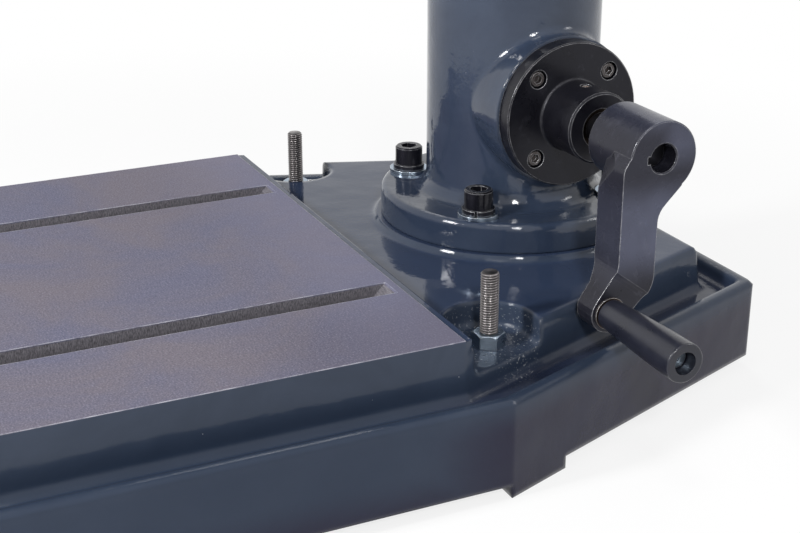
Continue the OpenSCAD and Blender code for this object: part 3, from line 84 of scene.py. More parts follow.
class Tree:
    """A node tree that is written one call per node."""

    def __init__(self, tree):
        self.tree = tree
        self.count = 0

    def add(self, kind, inputs=None, **settings):
        node = self.tree.nodes.new(kind)
        row, column = divmod(self.count, NODES_IN_A_ROW)
        node.location = (NODE_WIDTH * column, -NODE_HEIGHT * row)
        self.count += 1
        for name, value in settings.items():
            setattr(node, name, value)
        for key, value in (inputs or {}).items():
            self.feed(node.inputs[key], value)
        return node

    def feed(self, socket, value):
        if isinstance(value, bpy.types.NodeSocket):
            self.tree.links.new(value, socket)
        else:
            socket.default_value = value

    def math(self, operation, a, b=0.0, clamp=False):
        inputs = {0: a, 1: b}
        return self.add("ShaderNodeMath", inputs, operation=operation, use_clamp=clamp).outputs[0]

    def times(self, first, *others):
        for other in others:
            first = self.math("MULTIPLY", first, other)
        return first

    def squares(self, a, b):
        return self.math("ADD", self.math("POWER", a, 2.0), self.math("POWER", b, 2.0))

    def mix(self, factor, a, b):
        return self.add("ShaderNodeMix", {0: factor, 6: a, 7: b}, data_type="RGBA").outputs[2]

    def ramp(self, value, low, high, out_low=0.0, out_high=1.0, smooth=False):
        inputs = {0: value, 1: low, 2: high, 3: out_low, 4: out_high}
        kind = "SMOOTHSTEP" if smooth else "LINEAR"
        return self.add("ShaderNodeMapRange", inputs, interpolation_type=kind).outputs[0]

    def spread(self, mask, low, high):
        """From low to high as the mask goes from 0 to 1."""
        return self.ramp(mask, 0.0, 1.0, low, high)

    def noise(self, scale, detail=2.0, rough=0.5, distortion=0.0, vector=None):
        inputs = {
            "Vector": self.place() if vector is None else vector,
            "Scale": scale,
            "Detail": detail,
            "Roughness": rough,
            "Distortion": distortion,
        }
        return self.add("ShaderNodeTexNoise", inputs).outputs["Fac"]

    def place(self):
        return self.add("ShaderNodeTexCoord").outputs["Object"]

    def xyz(self, vector):
        return self.add("ShaderNodeSeparateXYZ", {0: vector}).outputs

    def rounded(self, radius, samples=6):
        """The normal as if edges were rounded to this radius."""
        return self.add("ShaderNodeBevel", {"Radius": radius}, samples=samples).outputs[0]

    def seen_rays(self):
        """1 for rays from the camera and off mirrors and glass, 0 for diffuse light."""
        path = self.add("ShaderNodeLightPath").outputs
        seen = self.math("MAXIMUM", path["Is Camera Ray"], path["Is Glossy Ray"])
        return self.math("MAXIMUM", seen, path["Is Transmission Ray"])


def effect_group(name, output, **inputs):
    """A shared effect: a node group with one output and inputs that have defaults."""
    tree = bpy.data.node_groups.new(name, "ShaderNodeTree")
    for socket, value in inputs.items():
        kind = "NodeSocketVector" if isinstance(value, tuple) else "NodeSocketFloat"
        made = tree.interface.new_socket(name=socket, in_out="INPUT", socket_type=kind)
        made.default_value = value
    tree.interface.new_socket(name=output, in_out="OUTPUT", socket_type="NodeSocketFloat")
    t = Tree(tree)
    given = t.add("NodeGroupInput").outputs
    return t, given, t.add("NodeGroupOutput").inputs[output]


def make_edge_wear_and_glint():
    t, given, mask = effect_group("Edge Wear And Glint", "Mask", Radius=0.001, Breakup=120.0, Gain=6.0)
    true = t.add("ShaderNodeNewGeometry").outputs["Normal"]
    vectors = {0: t.rounded(given["Radius"], samples=8), 1: true}
    same = t.add("ShaderNodeVectorMath", vectors, operation="DOT_PRODUCT").outputs["Value"]
    edge = t.math("MULTIPLY", t.math("SUBTRACT", 1.0, same), given["Gain"], clamp=True)
    broken = t.noise(given["Breakup"], detail=4.0, rough=0.6)
    patchy = t.ramp(broken, 0.35, 0.6, out_low=0.25)
    t.feed(mask, t.math("MULTIPLY", edge, patchy, clamp=True))


FINE_WAVES = 7.0
PEEL_WAVES = 26.0


def make_cast_ripple():
    """Broad waves with finer waves and orange peel, each so many times as small."""
    t, given, height = effect_group("Cast Ripple", "Height", Scale=40.0, Fine=0.3, Peel=0.0)
    place = t.place()
    broad = t.noise(given["Scale"], detail=1.0, vector=place)
    fine = t.noise(t.times(given["Scale"], FINE_WAVES), detail=2.0, vector=place)
    peel = t.noise(t.times(given["Scale"], PEEL_WAVES), detail=1.0, vector=place)
    added = t.math("ADD", broad, t.times(fine, given["Fine"]))
    t.feed(height, t.math("ADD", added, t.times(peel, given["Peel"])))


def make_specks():
    """Round specks of drawn sizes in a share of the cells."""
    t, given, mask = effect_group("Specks", "Mask", Scale=160.0, Size=0.12, Share=0.1)
    cells = t.add("ShaderNodeTexVoronoi", {"Vector": t.place(), "Scale": given["Scale"]}).outputs
    drawn = t.add("ShaderNodeSeparateColor", {"Color": cells["Color"]}).outputs
    near = t.math("LESS_THAN", cells["Distance"], t.times(given["Size"], drawn[1]))
    chosen = t.math("LESS_THAN", drawn[0], given["Share"])
    t.feed(mask, t.times(near, chosen))


def make_brushed():
    """Streaks: noise that is squeezed across them by Stretch."""
    t, given, lines = effect_group("Brushed Lines", "Lines", Stretch=(1.0, 1.0, 1.0), Scale=60.0)
    vectors = {0: t.place(), 1: given["Stretch"]}
    squeezed = t.add("ShaderNodeVectorMath", vectors, operation="MULTIPLY").outputs[0]
    t.feed(lines, t.noise(given["Scale"], detail=6.0, rough=0.65, vector=squeezed))


def make_smears():
    t, given, mask = effect_group("Smears", "Mask", Scale=6.0, Contrast=0.15)
    cloud = t.noise(given["Scale"], detail=5.0, rough=0.6, distortion=0.6)
    low = t.math("SUBTRACT", 0.5, given["Contrast"])
    high = t.math("ADD", 0.5, given["Contrast"])
    t.feed(mask, t.ramp(cloud, low, high, smooth=True))


for make in (make_edge_wear_and_glint, make_cast_ripple, make_specks, make_brushed, make_smears):
    make()


class Finish(Tree):
    """A material with one Principled shader and the shared effects."""

    def __init__(self, name, **fixed):
        self.material = bpy.data.materials.new(name)
        self.material.use_nodes = True
        super().__init__(self.material.node_tree)
        self.tree.nodes.clear()
        self.shader = self.add("ShaderNodeBsdfPrincipled")
        self.add("ShaderNodeOutputMaterial", {"Surface": self.shader.outputs[0]})
        for socket, value in fixed.items():
            self.shader.inputs[socket.replace("_", " ")].default_value = value

    def effect(self, name, **values):
        group = bpy.data.node_groups[name]
        return self.add("ShaderNodeGroup", values, node_tree=group).outputs[0]

    def surface(self, color, roughness, metallic=None):
        self.feed(self.shader.inputs["Base Color"], color)
        self.feed(self.shader.inputs["Roughness"], roughness)
        if metallic is not None:
            self.feed(self.shader.inputs["Metallic"], metallic)

    def bump(self, height, strength, distance, normal):
        inputs = {"Height": height, "Strength": strength, "Distance": distance, "Normal": normal}
        node = self.add("ShaderNodeBump", inputs)
        self.feed(self.shader.inputs["Normal"], node.outputs[0])


def rgb(r, g, b):
    return (r, g, b, 1.0)


def shaded(color, factor, lift=0.0):
    """The colour made darker or paler."""
    return tuple(factor * c + lift for c in color[:3]) + (1.0,)


# ---------- paint ----------

SLATE = rgb(0.031, 0.043, 0.070)
SLATE_PALE = rgb(0.048, 0.065, 0.102)
# painted shade low on the base
SLATE_LOW_SHADE = rgb(0.019, 0.030, 0.055)
# painted dark warm reflection on the skirts
SLATE_WARM_SHADE = rgb(0.011, 0.008, 0.026)
# painted bluish reflection on the flat tops of the base
SLATE_TOP_REFLECTION = rgb(0.028, 0.042, 0.082)
SLATE_COLUMN = rgb(0.024, 0.035, 0.062)
SLATE_EDGE = rgb(0.09, 0.10, 0.12)
DUST = rgb(0.55, 0.57, 0.60)
PAINT_RIPPLE = 24.0
PAINT_DEPTH = 0.004
PAINT_DULLING = 0.06


def enamel_coat(f, color, pale, shine):
    """Colour and roughness of paint with smears, dust and pale edges."""
    smear = f.effect("Smears", Scale=9.0, Contrast=0.2)
    dust = f.effect("Specks", Scale=170.0, Size=0.075, Share=0.05)
    edge = f.effect("Edge Wear And Glint", Radius=0.0012, Breakup=60.0, Gain=2.0)
    body = f.mix(f.times(smear, 0.6), color, pale)
    body = f.mix(f.times(edge, 0.35), body, SLATE_EDGE)
    return f.mix(dust, body, DUST), f.spread(smear, shine, shine + PAINT_DULLING)


def slate_enamel(
    name,
    color=SLATE,
    pale=SLATE_PALE,
    shine=0.06,
    ripple=PAINT_RIPPLE,
    strength=0.5,
    rim=0.0018,
    mirror=0.42,
):
    f = Finish(name, Specular_IOR_Level=mirror)
    f.surface(*enamel_coat(f, color, pale, shine))
    waves = f.effect("Cast Ripple", Scale=ripple, Fine=0.10, Peel=0.030)
    f.bump(waves, strength, PAINT_DEPTH, f.rounded(rim))
    return f


# ---------- base casting with its table ----------

GREY_IRON = rgb(0.104, 0.106, 0.166)
PALE_IRON = rgb(0.158, 0.158, 0.232)
WARM_IRON = rgb(0.190, 0.158, 0.165)
CORNER_IRON = rgb(0.070, 0.058, 0.080)
GRAIN_DARK = rgb(0.045, 0.042, 0.060)
GRAIN_PALE = rgb(0.34, 0.33, 0.40)
SCRAPED_IRON = rgb(0.20, 0.20, 0.29)
# pale edges of the table: partly worn metal, partly a painted highlight
EDGE_IRON_GLINT = rgb(0.60, 0.60, 0.66)
SLOT_IRON = rgb(0.21, 0.20, 0.225)
SLOT_SCORE = rgb(0.085, 0.080, 0.092)
# painted shade deep in the slots
SLOT_DEEP_SHADE = rgb(0.075, 0.068, 0.075)

# Where a change of the table begins and ends, in metres
CORNER_X = (0.10, 0.22)
CORNER_Y = (-0.02, 0.15)
SCRAPED_Y = (0.060, 0.168)
SLOT_SHADE_Z = (-0.004, -0.020)
# The same for the painted reflection and painted shade on the paint of the base. A face counts as
# flat by the upward share of its normal.
FLAT_FACE = (0.80, 0.98)
TOP_PAINT_Z = -0.015
LOW_PAINT_Z = (-0.012, -0.050)
TROUGH_Z = (-0.034, -0.060)
REAR_Y = (0.110, 0.190)
SKIRT_Z = (-0.070, -0.110)
# Thick paint rounds the edges. The machined face is crisp, down to just below its edge.
PAINTED_RIM = 0.006
MACHINED_RIM = 0.0012
RIM_Z = (-0.0085, -0.004)
BASE_SHINE = 0.03
TABLE_ROUGHNESS = (0.60, 0.72)
TABLE_METALLIC = 0.40


def table_iron(f, x, y, lines):
    """Milled face with clouds, a dark rear corner, grain, a scraped rear band, and pale edges that
    are partly worn metal and partly a painted highlight.
    """
    grey = f.mix(f.ramp(lines, 0.3, 0.7), GREY_IRON, PALE_IRON)
    cloud = f.effect("Smears", Scale=8.5, Contrast=0.18)
    grey = f.mix(f.times(cloud, 0.60), grey, WARM_IRON)
    corner = f.times(f.ramp(x, *CORNER_X, smooth=True), f.ramp(y, *CORNER_Y, smooth=True))
    grey = f.mix(f.times(corner, 0.55), grey, CORNER_IRON)
    grain = f.noise(700.0, detail=3.0, rough=0.7)
    grey = f.mix(f.ramp(grain, 0.50, 0.70, out_high=0.60), grey, GRAIN_DARK)
    grey = f.mix(f.ramp(grain, 0.46, 0.30, out_high=0.55), grey, GRAIN_PALE)
    scraped = f.ramp(y, *SCRAPED_Y, smooth=True)
    grey = f.mix(f.times(scraped, 0.40), grey, SCRAPED_IRON)
    # Edges paled as worn metal and as a painted highlight
    edge = f.effect("Edge Wear And Glint", Radius=0.0012, Breakup=90.0, Gain=6.0)
    return f.mix(edge, grey, EDGE_IRON_GLINT)


def slot_iron(f, z):
    """Walls of the slots, scored by the cutter, with painted shade further down."""
    scored = f.effect("Brushed Lines", Stretch=(1.0, 9.0, 3.0), Scale=120.0)
    wall = f.mix(f.ramp(scored, 0.38, 0.62), SLOT_IRON, SLOT_SCORE)
    return f.mix(f.ramp(z, *SLOT_SHADE_Z), wall, SLOT_DEEP_SHADE)


def base_paint(f, paint, y, z):
    """Paint with a painted bluish reflection on flat tops, and painted shade that is darker and
    warmer towards the floor.
    """
    upward = f.xyz(f.add("ShaderNodeNewGeometry").outputs["Normal"])[2]
    # Painted bluish reflection on the flat tops
    high = f.math("GREATER_THAN", z, TOP_PAINT_Z)
    flat = f.times(f.ramp(upward, *FLAT_FACE, smooth=True), high)
    paint = f.mix(f.times(flat, 0.9), paint, SLATE_TOP_REFLECTION)
    # Painted shade towards the floor, broken up by a cloud
    shade_cloud = f.effect("Smears", Scale=5.0, Contrast=0.25)
    low = f.ramp(z, *LOW_PAINT_Z, smooth=True)
    paint = f.mix(f.times(low, f.spread(shade_cloud, 0.6, 1.0)), paint, SLATE_LOW_SHADE)
    # Painted dark warm reflection on the rear skirt, and low on the skirts
    rear = f.times(f.ramp(y, *REAR_Y, smooth=True), f.ramp(z, *TROUGH_Z, smooth=True))
    under = f.times(f.ramp(z, *SKIRT_Z, smooth=True), f.spread(shade_cloud, 0.4, 1.0))
    warm = f.times(f.math("MAXIMUM", rear, under), f.spread(shade_cloud, 0.7, 1.0))
    return f.mix(warm, paint, SLATE_WARM_SHADE)


def machined_base():
    """Paint with the machined table face and the slots left bare."""
    f = Finish("base_enamel_and_table", Specular_IOR_Level=0.27)

    # Masks: 1 in the area, 0 elsewhere
    x, y, z = f.xyz(f.place())
    face = f.math("GREATER_THAN", z, FACE_LOW)
    from_slot = f.math("ABSOLUTE", f.math("SUBTRACT", f.math("ABSOLUTE", x), SLOT_X))
    slot = f.times(
        f.math("LESS_THAN", from_slot, SLOT_HALF),
        f.math("LESS_THAN", y, SLOT_END),
        f.math("GREATER_THAN", z, SLOT_LOW),
    )
    bare = f.math("MAXIMUM", face, slot)
    slot_wall = f.times(slot, f.math("LESS_THAN", z, SLOT_WALL_TOP))
    along = f.math("SUBTRACT", f.math("ABSOLUTE", x), STUD_X)
    from_stud = f.math("POWER", f.squares(along, f.math("SUBTRACT", y, STUD_Y)), 0.5)
    pocket = f.ramp(from_stud, POCKET_RADIUS, POCKET_FADE, smooth=True)
    pocket = f.times(pocket, f.math("LESS_THAN", z, POCKET_TOP))
    grit = f.ramp(f.noise(430.0, detail=3.0, rough=0.6), 0.60, 0.70)
    lines = f.effect("Brushed Lines", Stretch=(1.0, 6.0, 1.0), Scale=150.0)
    cross = f.effect("Brushed Lines", Stretch=(5.0, 1.0, 1.0), Scale=60.0)

    paint, gloss = enamel_coat(f, SLATE, SLATE_PALE, BASE_SHINE)
    paint = base_paint(f, paint, y, z)
    paint = f.mix(f.times(pocket, f.times(grit, 0.5)), paint, DUST)
    gloss = f.math("ADD", gloss, f.times(pocket, 0.16))
    iron = f.mix(slot_wall, table_iron(f, x, y, lines), slot_iron(f, z))
    f.surface(
        color=f.mix(bare, paint, iron),
        roughness=f.mix(bare, gloss, f.ramp(cross, 0.3, 0.7, *TABLE_ROUGHNESS)),
        metallic=f.times(f.math("SUBTRACT", bare, slot_wall, clamp=True), TABLE_METALLIC),
    )

    ripple = f.effect("Cast Ripple", Scale=PAINT_RIPPLE, Fine=0.10, Peel=0.018)
    rough_cast = f.times(f.effect("Cast Ripple", Scale=60.0, Fine=0.8), 0.35)
    gritty = f.math("ADD", rough_cast, f.times(grit, 0.05))
    painted = f.mix(pocket, ripple, gritty)
    milled = f.mix(slot_wall, f.times(lines, 0.012), rough_cast)

    crisp = f.math("MAXIMUM", bare, f.ramp(z, *RIM_Z), clamp=True)
    normal = f.mix(crisp, f.rounded(PAINTED_RIM, samples=8), f.rounded(MACHINED_RIM))
    f.bump(f.mix(bare, painted, milled), 0.28, PAINT_DEPTH, normal)
    return f


# ---------- metals and plastics ----------

OXIDE_EDGE = rgb(0.45, 0.45, 0.47)
BRIGHT_EDGE = rgb(0.85, 0.85, 0.87)
# painted shade in the grooves of the threads
THREAD_SHADE = rgb(0.012, 0.010, 0.010)
# How much rougher a smeared spot is
OXIDE_DULLING = 0.14
METAL_DULLING = 0.15
PLASTIC_DULLING = 0.12

# Where the painted light and shade of the crank begin and end, in metres
ARM_LIGHT_Z = (0.006, 0.044)
UNDER_HUB_Z = (0.066, 0.096)
HUB_CROWN_Z = (0.120, 0.146)
HUB_FAR_Y = (0.330, 0.350)
HUB_FAR_Z = (0.095, 0.115)


def painted_crank_light(f):
    """How much painted light the crank has, by height and by the way a face looks, less on faces
    turned to -y.
    """
    _, y, z = f.xyz(f.place())
    side = f.xyz(f.add("ShaderNodeTexCoord").outputs["Normal"])
    cloud = f.effect("Smears", Scale=14.0, Contrast=0.3)
    arm = f.times(f.ramp(z, *ARM_LIGHT_Z, smooth=True), f.spread(cloud, 0.6, 1.0))
    below_hub = f.ramp(z, *UNDER_HUB_Z, out_low=1.0, out_high=0.10, smooth=True)
    crown = f.ramp(z, *HUB_CROWN_Z, out_high=0.80, smooth=True)
    far_face = f.times(
        f.ramp(y, *HUB_FAR_Y, out_high=0.6, smooth=True),
        f.ramp(side[0], 0.8, 0.95),
        f.ramp(z, *HUB_FAR_Z),
    )
    hub = f.math("ADD", below_hub, f.math("MAXIMUM", crown, far_face))
    crank_lit = f.math("MULTIPLY", arm, hub, clamp=True)
    return f.times(crank_lit, f.ramp(side[1], -0.9, -0.4, 0.45, 1.0))


def black_oxide(name, dark, scuffed, rough, lit_color=None):
    f = Finish(name, Metallic=0.35, Specular_IOR_Level=0.35)
    smear = f.effect("Smears", Scale=30.0, Contrast=0.2)
    scuff = f.effect("Brushed Lines", Stretch=(3.0, 1.0, 1.0), Scale=90.0)
    edge = f.effect("Edge Wear And Glint", Radius=0.0010, Breakup=180.0, Gain=7.0)
    body = f.mix(f.times(smear, 0.5), dark, shaded(dark, 1.5, 0.004))
    # Painted light and shade of the crank, in a paler colour
    if lit_color:
        body = f.mix(painted_crank_light(f), body, lit_color)
    body = f.mix(f.ramp(scuff, 0.58, 0.78, out_high=0.25), body, scuffed)
    f.surface(f.mix(edge, body, OXIDE_EDGE), f.spread(smear, rough, rough + OXIDE_DULLING))
    waves = f.effect("Cast Ripple", Scale=220.0, Fine=0.4)
    f.bump(waves, strength=0.12, distance=0.0006, normal=f.rounded(0.0008))
    return f


def bright_metal(name, color, rough):
    f = Finish(name, Metallic=1.0)
    lines = f.effect("Brushed Lines", Stretch=(1.0, 1.0, 12.0), Scale=90.0)
    smear = f.effect("Smears", Scale=18.0, Contrast=0.22)
    edge = f.effect("Edge Wear And Glint", Radius=0.0008, Breakup=150.0, Gain=4.0)
    dull = shaded(color, 0.62)
    body = f.mix(f.ramp(lines, 0.35, 0.7, out_high=0.6), color, dull)
    body = f.mix(f.times(smear, 0.25), body, dull)
    f.surface(f.mix(edge, body, BRIGHT_EDGE), f.spread(smear, rough, rough + METAL_DULLING))
    f.bump(lines, strength=0.08, distance=0.0004, normal=f.rounded(0.0006))
    return f


def thread_groove(t, x, y, z, pitch):
    """0 on the crests and 1 in the grooves of a right-hand thread about Z."""
    turn = t.math("DIVIDE", t.math("ARCTAN2", y, x), 2 * math.pi)
    phase = t.math("FRACT", t.math("SUBTRACT", t.math("DIVIDE", z, pitch), turn))
    groove = t.math("ABSOLUTE", t.math("SUBTRACT", t.times(phase, 2.0), 1.0))
    return t.ramp(groove, 0.12, 0.88)


def rolled_steel(name, color):
    """Steel of the anchor studs, with painted shade in the grooves of the thread."""
    f = Finish(name, Metallic=0.9)
    smear = f.effect("Smears", Scale=60.0, Contrast=0.2)
    x, y, z = f.xyz(f.place())
    x = f.math("SUBTRACT", x, f.times(f.math("SIGN", x), STUD_X))
    y = f.math("SUBTRACT", y, STUD_Y)
    groove = thread_groove(f, x, y, f.math("SUBTRACT", z, STUD_MIDDLE), THREAD_PITCH)
    body = f.mix(smear, color, shaded(color, 0.7))
    f.surface(f.mix(f.times(groove, 0.9), body, THREAD_SHADE), f.spread(smear, 0.26, 0.40))
    return f


def moulded_plastic(name, color, rough):
    f = Finish(name)
    smear = f.effect("Smears", Scale=40.0, Contrast=0.25)
    body = f.mix(f.times(smear, 0.5), color, shaded(color, 1.5, 0.004))
    f.surface(body, f.spread(smear, rough, rough + PLASTIC_DULLING))
    grain = f.effect("Cast Ripple", Scale=400.0, Fine=0.5)
    f.bump(grain, strength=0.08, distance=0.0005, normal=f.rounded(0.0008))
    return f


# ---------- which piece has which finish ----------

stud_steel = rolled_steel("stud_steel", rgb(0.30, 0.28, 0.28))
knob_plastic = moulded_plastic("knob_plastic", rgb(0.010, 0.010, 0.011), 0.15)
dull_bronze = bright_metal("dull_bronze", rgb(0.075, 0.052, 0.040), 0.42)

finish_of_slot = {
    "paint": slate_enamel("slate_enamel"),
    "black_steel": black_oxide(
        "black_oxide", rgb(0.007, 0.007, 0.011), rgb(0.10, 0.10, 0.125), 0.24
    ),
    "zinc": bright_metal("zinc_plate", rgb(0.37, 0.45, 0.54), 0.22),
    "bronze": bright_metal("turned_bronze", rgb(0.42, 0.27, 0.12), 0.3),
    "bright_steel": bright_metal("ground_steel", rgb(0.60, 0.60, 0.62), 0.16),
    "bare_iron": bright_metal("bare_iron", rgb(0.30, 0.29, 0.30), 0.42),
    "black_plastic": knob_plastic,
    "pale_paint": slate_enamel(
        "pale_enamel",
        color=rgb(0.55, 0.55, 0.53),
        pale=rgb(0.62, 0.62, 0.60),
        shine=0.3,
        ripple=60.0,
        strength=0.2,
    ),
    "green_plastic": moulded_plastic("green_cap", rgb(0.01, 0.16, 0.03), 0.2),
    "red_plastic": moulded_plastic("red_cap", rgb(0.50, 0.012, 0.01), 0.2),
}
finish_of_node = {
    "base_casting": machined_base(),
    "column_sleeve": slate_enamel(
        "column_enamel", SLATE_COLUMN, shine=0.03, strength=0.36, rim=0.003, mirror=0.48
    ),
    # The crank has painted light and shade in a paler colour
    "crank_arm": black_oxide(
        "crank_oxide",
        rgb(0.014, 0.014, 0.021),
        rgb(0.18, 0.18, 0.225),
        0.20,
        lit_color=rgb(0.100, 0.108, 0.160),
    ),
    "crank_grip": moulded_plastic("grip_plastic", rgb(0.011, 0.012, 0.020), 0.26),
    "crank_bush": bright_metal("oily_bronze", rgb(0.035, 0.026, 0.020), 0.25),
    "crank_shaft": bright_metal("dark_steel", rgb(0.030, 0.030, 0.036), 0.35),
    "column_screws": black_oxide(
        "screw_oxide", rgb(0.010, 0.010, 0.014), rgb(0.10, 0.10, 0.12), 0.12
    ),
    "flange_screws": black_oxide(
        "worn_oxide", rgb(0.050, 0.042, 0.040), rgb(0.20, 0.17, 0.16), 0.22
    ),
    "grip_washer": dull_bronze,
    "hub_oiler": dull_bronze,
    "anchor_studs": stud_steel,
}


def dress(obj, finish):
    if not obj.material_slots:
        obj.data.materials.append(finish.material)
    for place in obj.material_slots:
        place.material = finish.material


for part in frame["record"]["subparts"]:
    name = part["node"]
    dress(cad[name], finish_of_node.get(name, finish_of_slot[part["material_slot"]]))


# ---------- threads on the anchor studs ----------

ROD_SIDES = 40
RINGS_A_TURN = 8.0


def thread_tree():
    """Upright rod whose side follows a screw thread, from named sizes."""
    tree = bpy.data.node_groups.new("Threaded Rod", "GeometryNodeTree")
    defaults = {"Radius": 0.007, "Length": 0.06, "Pitch": 0.002, "Depth": 0.001, "Chamfer": 0.0015}
    for name, value in defaults.items():
        made = tree.interface.new_socket(
            name=name, in_out="INPUT", socket_type="NodeSocketFloat"
        )
        made.default_value = value
    tree.interface.new_socket(name="Finish", in_out="INPUT", socket_type="NodeSocketMaterial")
    tree.interface.new_socket(name="Rod", in_out="OUTPUT", socket_type="NodeSocketGeometry")
    t = Tree(tree)
    given = t.add("NodeGroupInput").outputs
    result = t.add("NodeGroupOutput").inputs

    rings = t.times(t.math("DIVIDE", given["Length"], given["Pitch"]), RINGS_A_TURN)
    sizes = {
        "Vertices": ROD_SIDES,
        "Side Segments": t.add("FunctionNodeFloatToInt", {0: rings}).outputs[0],
        "Radius": given["Radius"],
        "Depth": given["Length"],
    }
    rod = t.add("GeometryNodeMeshCylinder", sizes).outputs["Mesh"]

    # Each point of the side moves inward by the groove, or by the chamfer at the ends
    x, y, z = t.xyz(t.add("GeometryNodeInputPosition").outputs[0])
    cut = t.times(thread_groove(t, x, y, z, given["Pitch"]), given["Depth"])
    from_end = t.math("SUBTRACT", t.times(given["Length"], 0.5), t.math("ABSOLUTE", z))
    taper = t.math("MAXIMUM", t.math("SUBTRACT", given["Chamfer"], from_end), 0.0)
    inset = t.math("MAXIMUM", cut, taper)
    shrink = t.math("DIVIDE", t.math("SUBTRACT", given["Radius"], inset), given["Radius"])
    across = t.math("POWER", t.squares(x, y), 0.5)
    on_side = t.math("GREATER_THAN", across, t.times(given["Radius"], 0.9))
    moved = t.add("ShaderNodeCombineXYZ", {0: t.times(x, shrink), 1: t.times(y, shrink), 2: z})
    points = {"Geometry": rod, "Selection": on_side, "Position": moved.outputs[0]}
    placed = t.add("GeometryNodeSetPosition", points)
    real = t.add("GeometryNodeRealizeInstances", {0: placed.outputs[0]})
    skin = {"Geometry": real.outputs[0], "Material": given["Finish"]}
    t.feed(result[0], t.add("GeometryNodeSetMaterial", skin).outputs[0])
    return tree


def built(name, tree, values, move):
    """The mesh that a tree makes from these values, moved into place."""
    holder = linked(bpy.data.objects.new(name + "_tree", bpy.data.meshes.new(name)))
    modifier = holder.modifiers.new("build", "NODES")
    modifier.node_group = tree
    for item in tree.interface.items_tree:
        if item.in_out == "INPUT" and item.name in values:
            modifier[item.identifier] = values[item.name]
    graph = bpy.context.evaluated_depsgraph_get()
    result = bpy.data.meshes.new_from_object(holder.evaluated_get(graph))
    bpy.data.objects.remove(holder)
    result.transform(move)
    result.name = name
    return result


def as_piece(name, meshes, body, slot, finish, *replaced):
    """One object from several meshes. Four-sided faces are smooth, the ends are flat."""
    verts, faces = [], []
    for mesh in meshes:
        start = len(verts)
        verts += [v.co.copy() for v in mesh.vertices]
        faces += [[start + i for i in p.vertices] for p in mesh.polygons]
    joined = bpy.data.meshes.new(name)
    joined.from_pydata(verts, [], faces)
    joined.polygons.foreach_set("use_smooth", [len(face) == 4 for face in faces])
    joined.update()
    joined.materials.append(finish.material)
    piece = linked(bpy.data.objects.new(name, joined))
    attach(piece, body)
    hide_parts(*replaced)


threaded_rod = thread_tree()
stud_sizes = {
    "Radius": STUD_RADIUS,
    "Length": STUD_TOP - STUD_LOW,
    "Pitch": THREAD_PITCH,
    "Depth": THREAD_DEPTH,
    "Finish": stud_steel.material,
}
rods = [
    built("stud_rod", threaded_rod, stud_sizes, Matrix.Translation((x, STUD_Y, STUD_MIDDLE)))
    for x in (-STUD_X, STUD_X)
]
as_piece("threaded_studs", rods, "base", "zinc", stud_steel, "anchor_studs")


# ---------- camera ----------

CAMERA_AT = Vector((1.0775, -0.2761, 0.4364))
CAMERA_RIGHT = Vector((0.4265, 0.9045, 0.0))
CAMERA_UP = Vector((-0.3367, 0.1587, 0.9282))
CAMERA_BACK = Vector((0.8395, -0.3959, 0.3722))
FOCAL_LENGTH = 66.8
SENSOR_WIDTH = 36.0

lens = bpy.data.cameras.new("photo_camera")
lens.sensor_width = SENSOR_WIDTH
lens.lens = FOCAL_LENGTH
lens.clip_start = 0.01
camera = linked(bpy.data.objects.new("photo_camera", lens))
axes = Matrix((CAMERA_RIGHT, CAMERA_UP, CAMERA_BACK)).transposed().to_4x4()
camera.matrix_world = Matrix.Translation(CAMERA_AT) @ axes
scene.camera = camera


# ---------- lamps, world and floor ----------

COLUMN_FOOT = Vector((0.0, 0.30, 0.05))
# Azimuth and elevation in degrees, distance and size in metres, watts
SOFTBOXES = {
    "front_softbox": (-82, 27, 2.2, (0.30, 0.48), 36.0),
    "camera_softbox": (-20, 30, 2.2, (0.22, 0.40), 19.0),
    "right_softbox": (58, 32, 2.2, (0.30, 0.60), 6.0),
    "rear_softbox": (160, 50, 2.4, (0.70, 0.70), 8.0),
    "top_softbox": (-60, 78, 2.6, (0.60, 0.60), 6.0),
}
WHITE = rgb(1.0, 1.0, 1.0)
WORLD_LIGHT = 0.26
FLOOR_REACH = 60.0
FLOOR_GAP = 0.0005
FLOOR_COLOR = rgb(0.95, 0.95, 0.95)
# Share of plain white in the floor, near and far, by the square of the distance
FLOOR_WHITE = (0.8, 1.0)
FLOOR_WHITE_FROM = (0.1, 1.6)


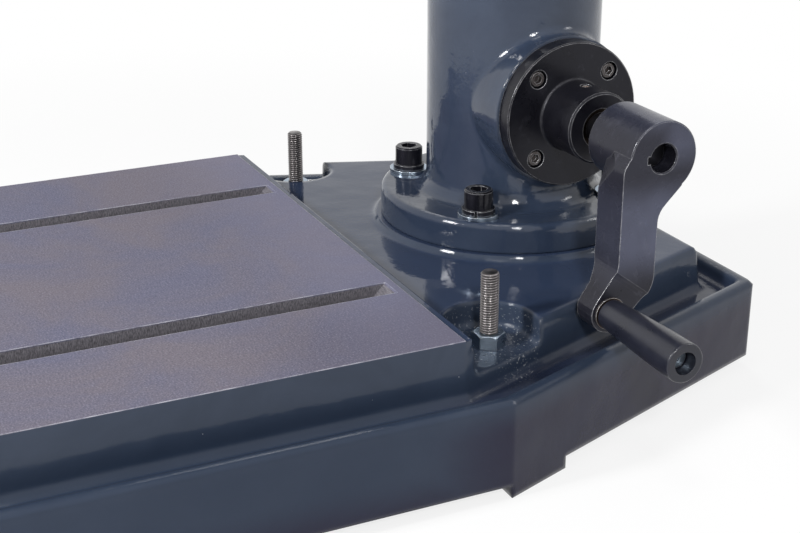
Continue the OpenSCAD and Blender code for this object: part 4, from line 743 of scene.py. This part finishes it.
def softbox(name, azimuth, elevation, distance, size, watts):
    """A softbox at an angle round the foot of the column, aimed at it."""
    data = bpy.data.lights.new(name, "AREA")
    data.shape = "RECTANGLE"
    data.size, data.size_y = size
    data.energy = watts
    a, e = math.radians(azimuth), math.radians(elevation)
    way = Vector((math.cos(a) * math.cos(e), math.sin(a) * math.cos(e), math.sin(e)))
    at = COLUMN_FOOT + distance * way
    turned = (COLUMN_FOOT - at).to_track_quat("-Z", "Y").to_matrix().to_4x4()
    linked(bpy.data.objects.new(name, data)).matrix_world = Matrix.Translation(at) @ turned


def studio_world():
    """White to look at, and a softer light on the machine."""
    world = bpy.data.worlds.new("studio")
    world.use_nodes = True
    world.node_tree.nodes.clear()
    w = Tree(world.node_tree)
    soft = w.add("ShaderNodeBackground", {"Color": WHITE, "Strength": WORLD_LIGHT})
    white = w.add("ShaderNodeBackground", {"Color": WHITE, "Strength": 1.0})
    shaders = {0: w.seen_rays(), 1: soft.outputs[0], 2: white.outputs[0]}
    both = w.add("ShaderNodeMixShader", shaders)
    w.add("ShaderNodeOutputWorld", {"Surface": both.outputs[0]})
    scene.world = world


def studio_floor():
    """Pale floor that keeps the shadow near the machine and is white further out."""
    pale = bpy.data.materials.new("pale_floor")
    pale.use_nodes = True
    pale.node_tree.nodes.clear()
    t = Tree(pale.node_tree)
    lit = t.add("ShaderNodeBsdfDiffuse", {"Color": FLOOR_COLOR})
    glow = t.add("ShaderNodeEmission", {"Color": WHITE, "Strength": 1.0})
    spot = t.xyz(t.place())
    apart = t.squares(spot[0], spot[1])
    away = t.ramp(apart, *FLOOR_WHITE_FROM, *FLOOR_WHITE, smooth=True)
    share = t.times(t.seen_rays(), away)
    mixed = t.add("ShaderNodeMixShader", {0: share, 1: lit.outputs[0], 2: glow.outputs[0]})
    t.add("ShaderNodeOutputMaterial", {"Surface": mixed.outputs[0]})

    mesh = bpy.data.meshes.new("studio_floor")
    r, z = FLOOR_REACH, FLOOR_Z - FLOOR_GAP
    mesh.from_pydata([(-r, -r, z), (r, -r, z), (r, r, z), (-r, r, z)], [], [(0, 1, 2, 3)])
    mesh.materials.append(pale)
    floor = linked(bpy.data.objects.new("studio_floor", mesh))


for name, setting in SOFTBOXES.items():
    softbox(name, *setting)
studio_world()
studio_floor()
scene.view_settings.view_transform = "Standard"
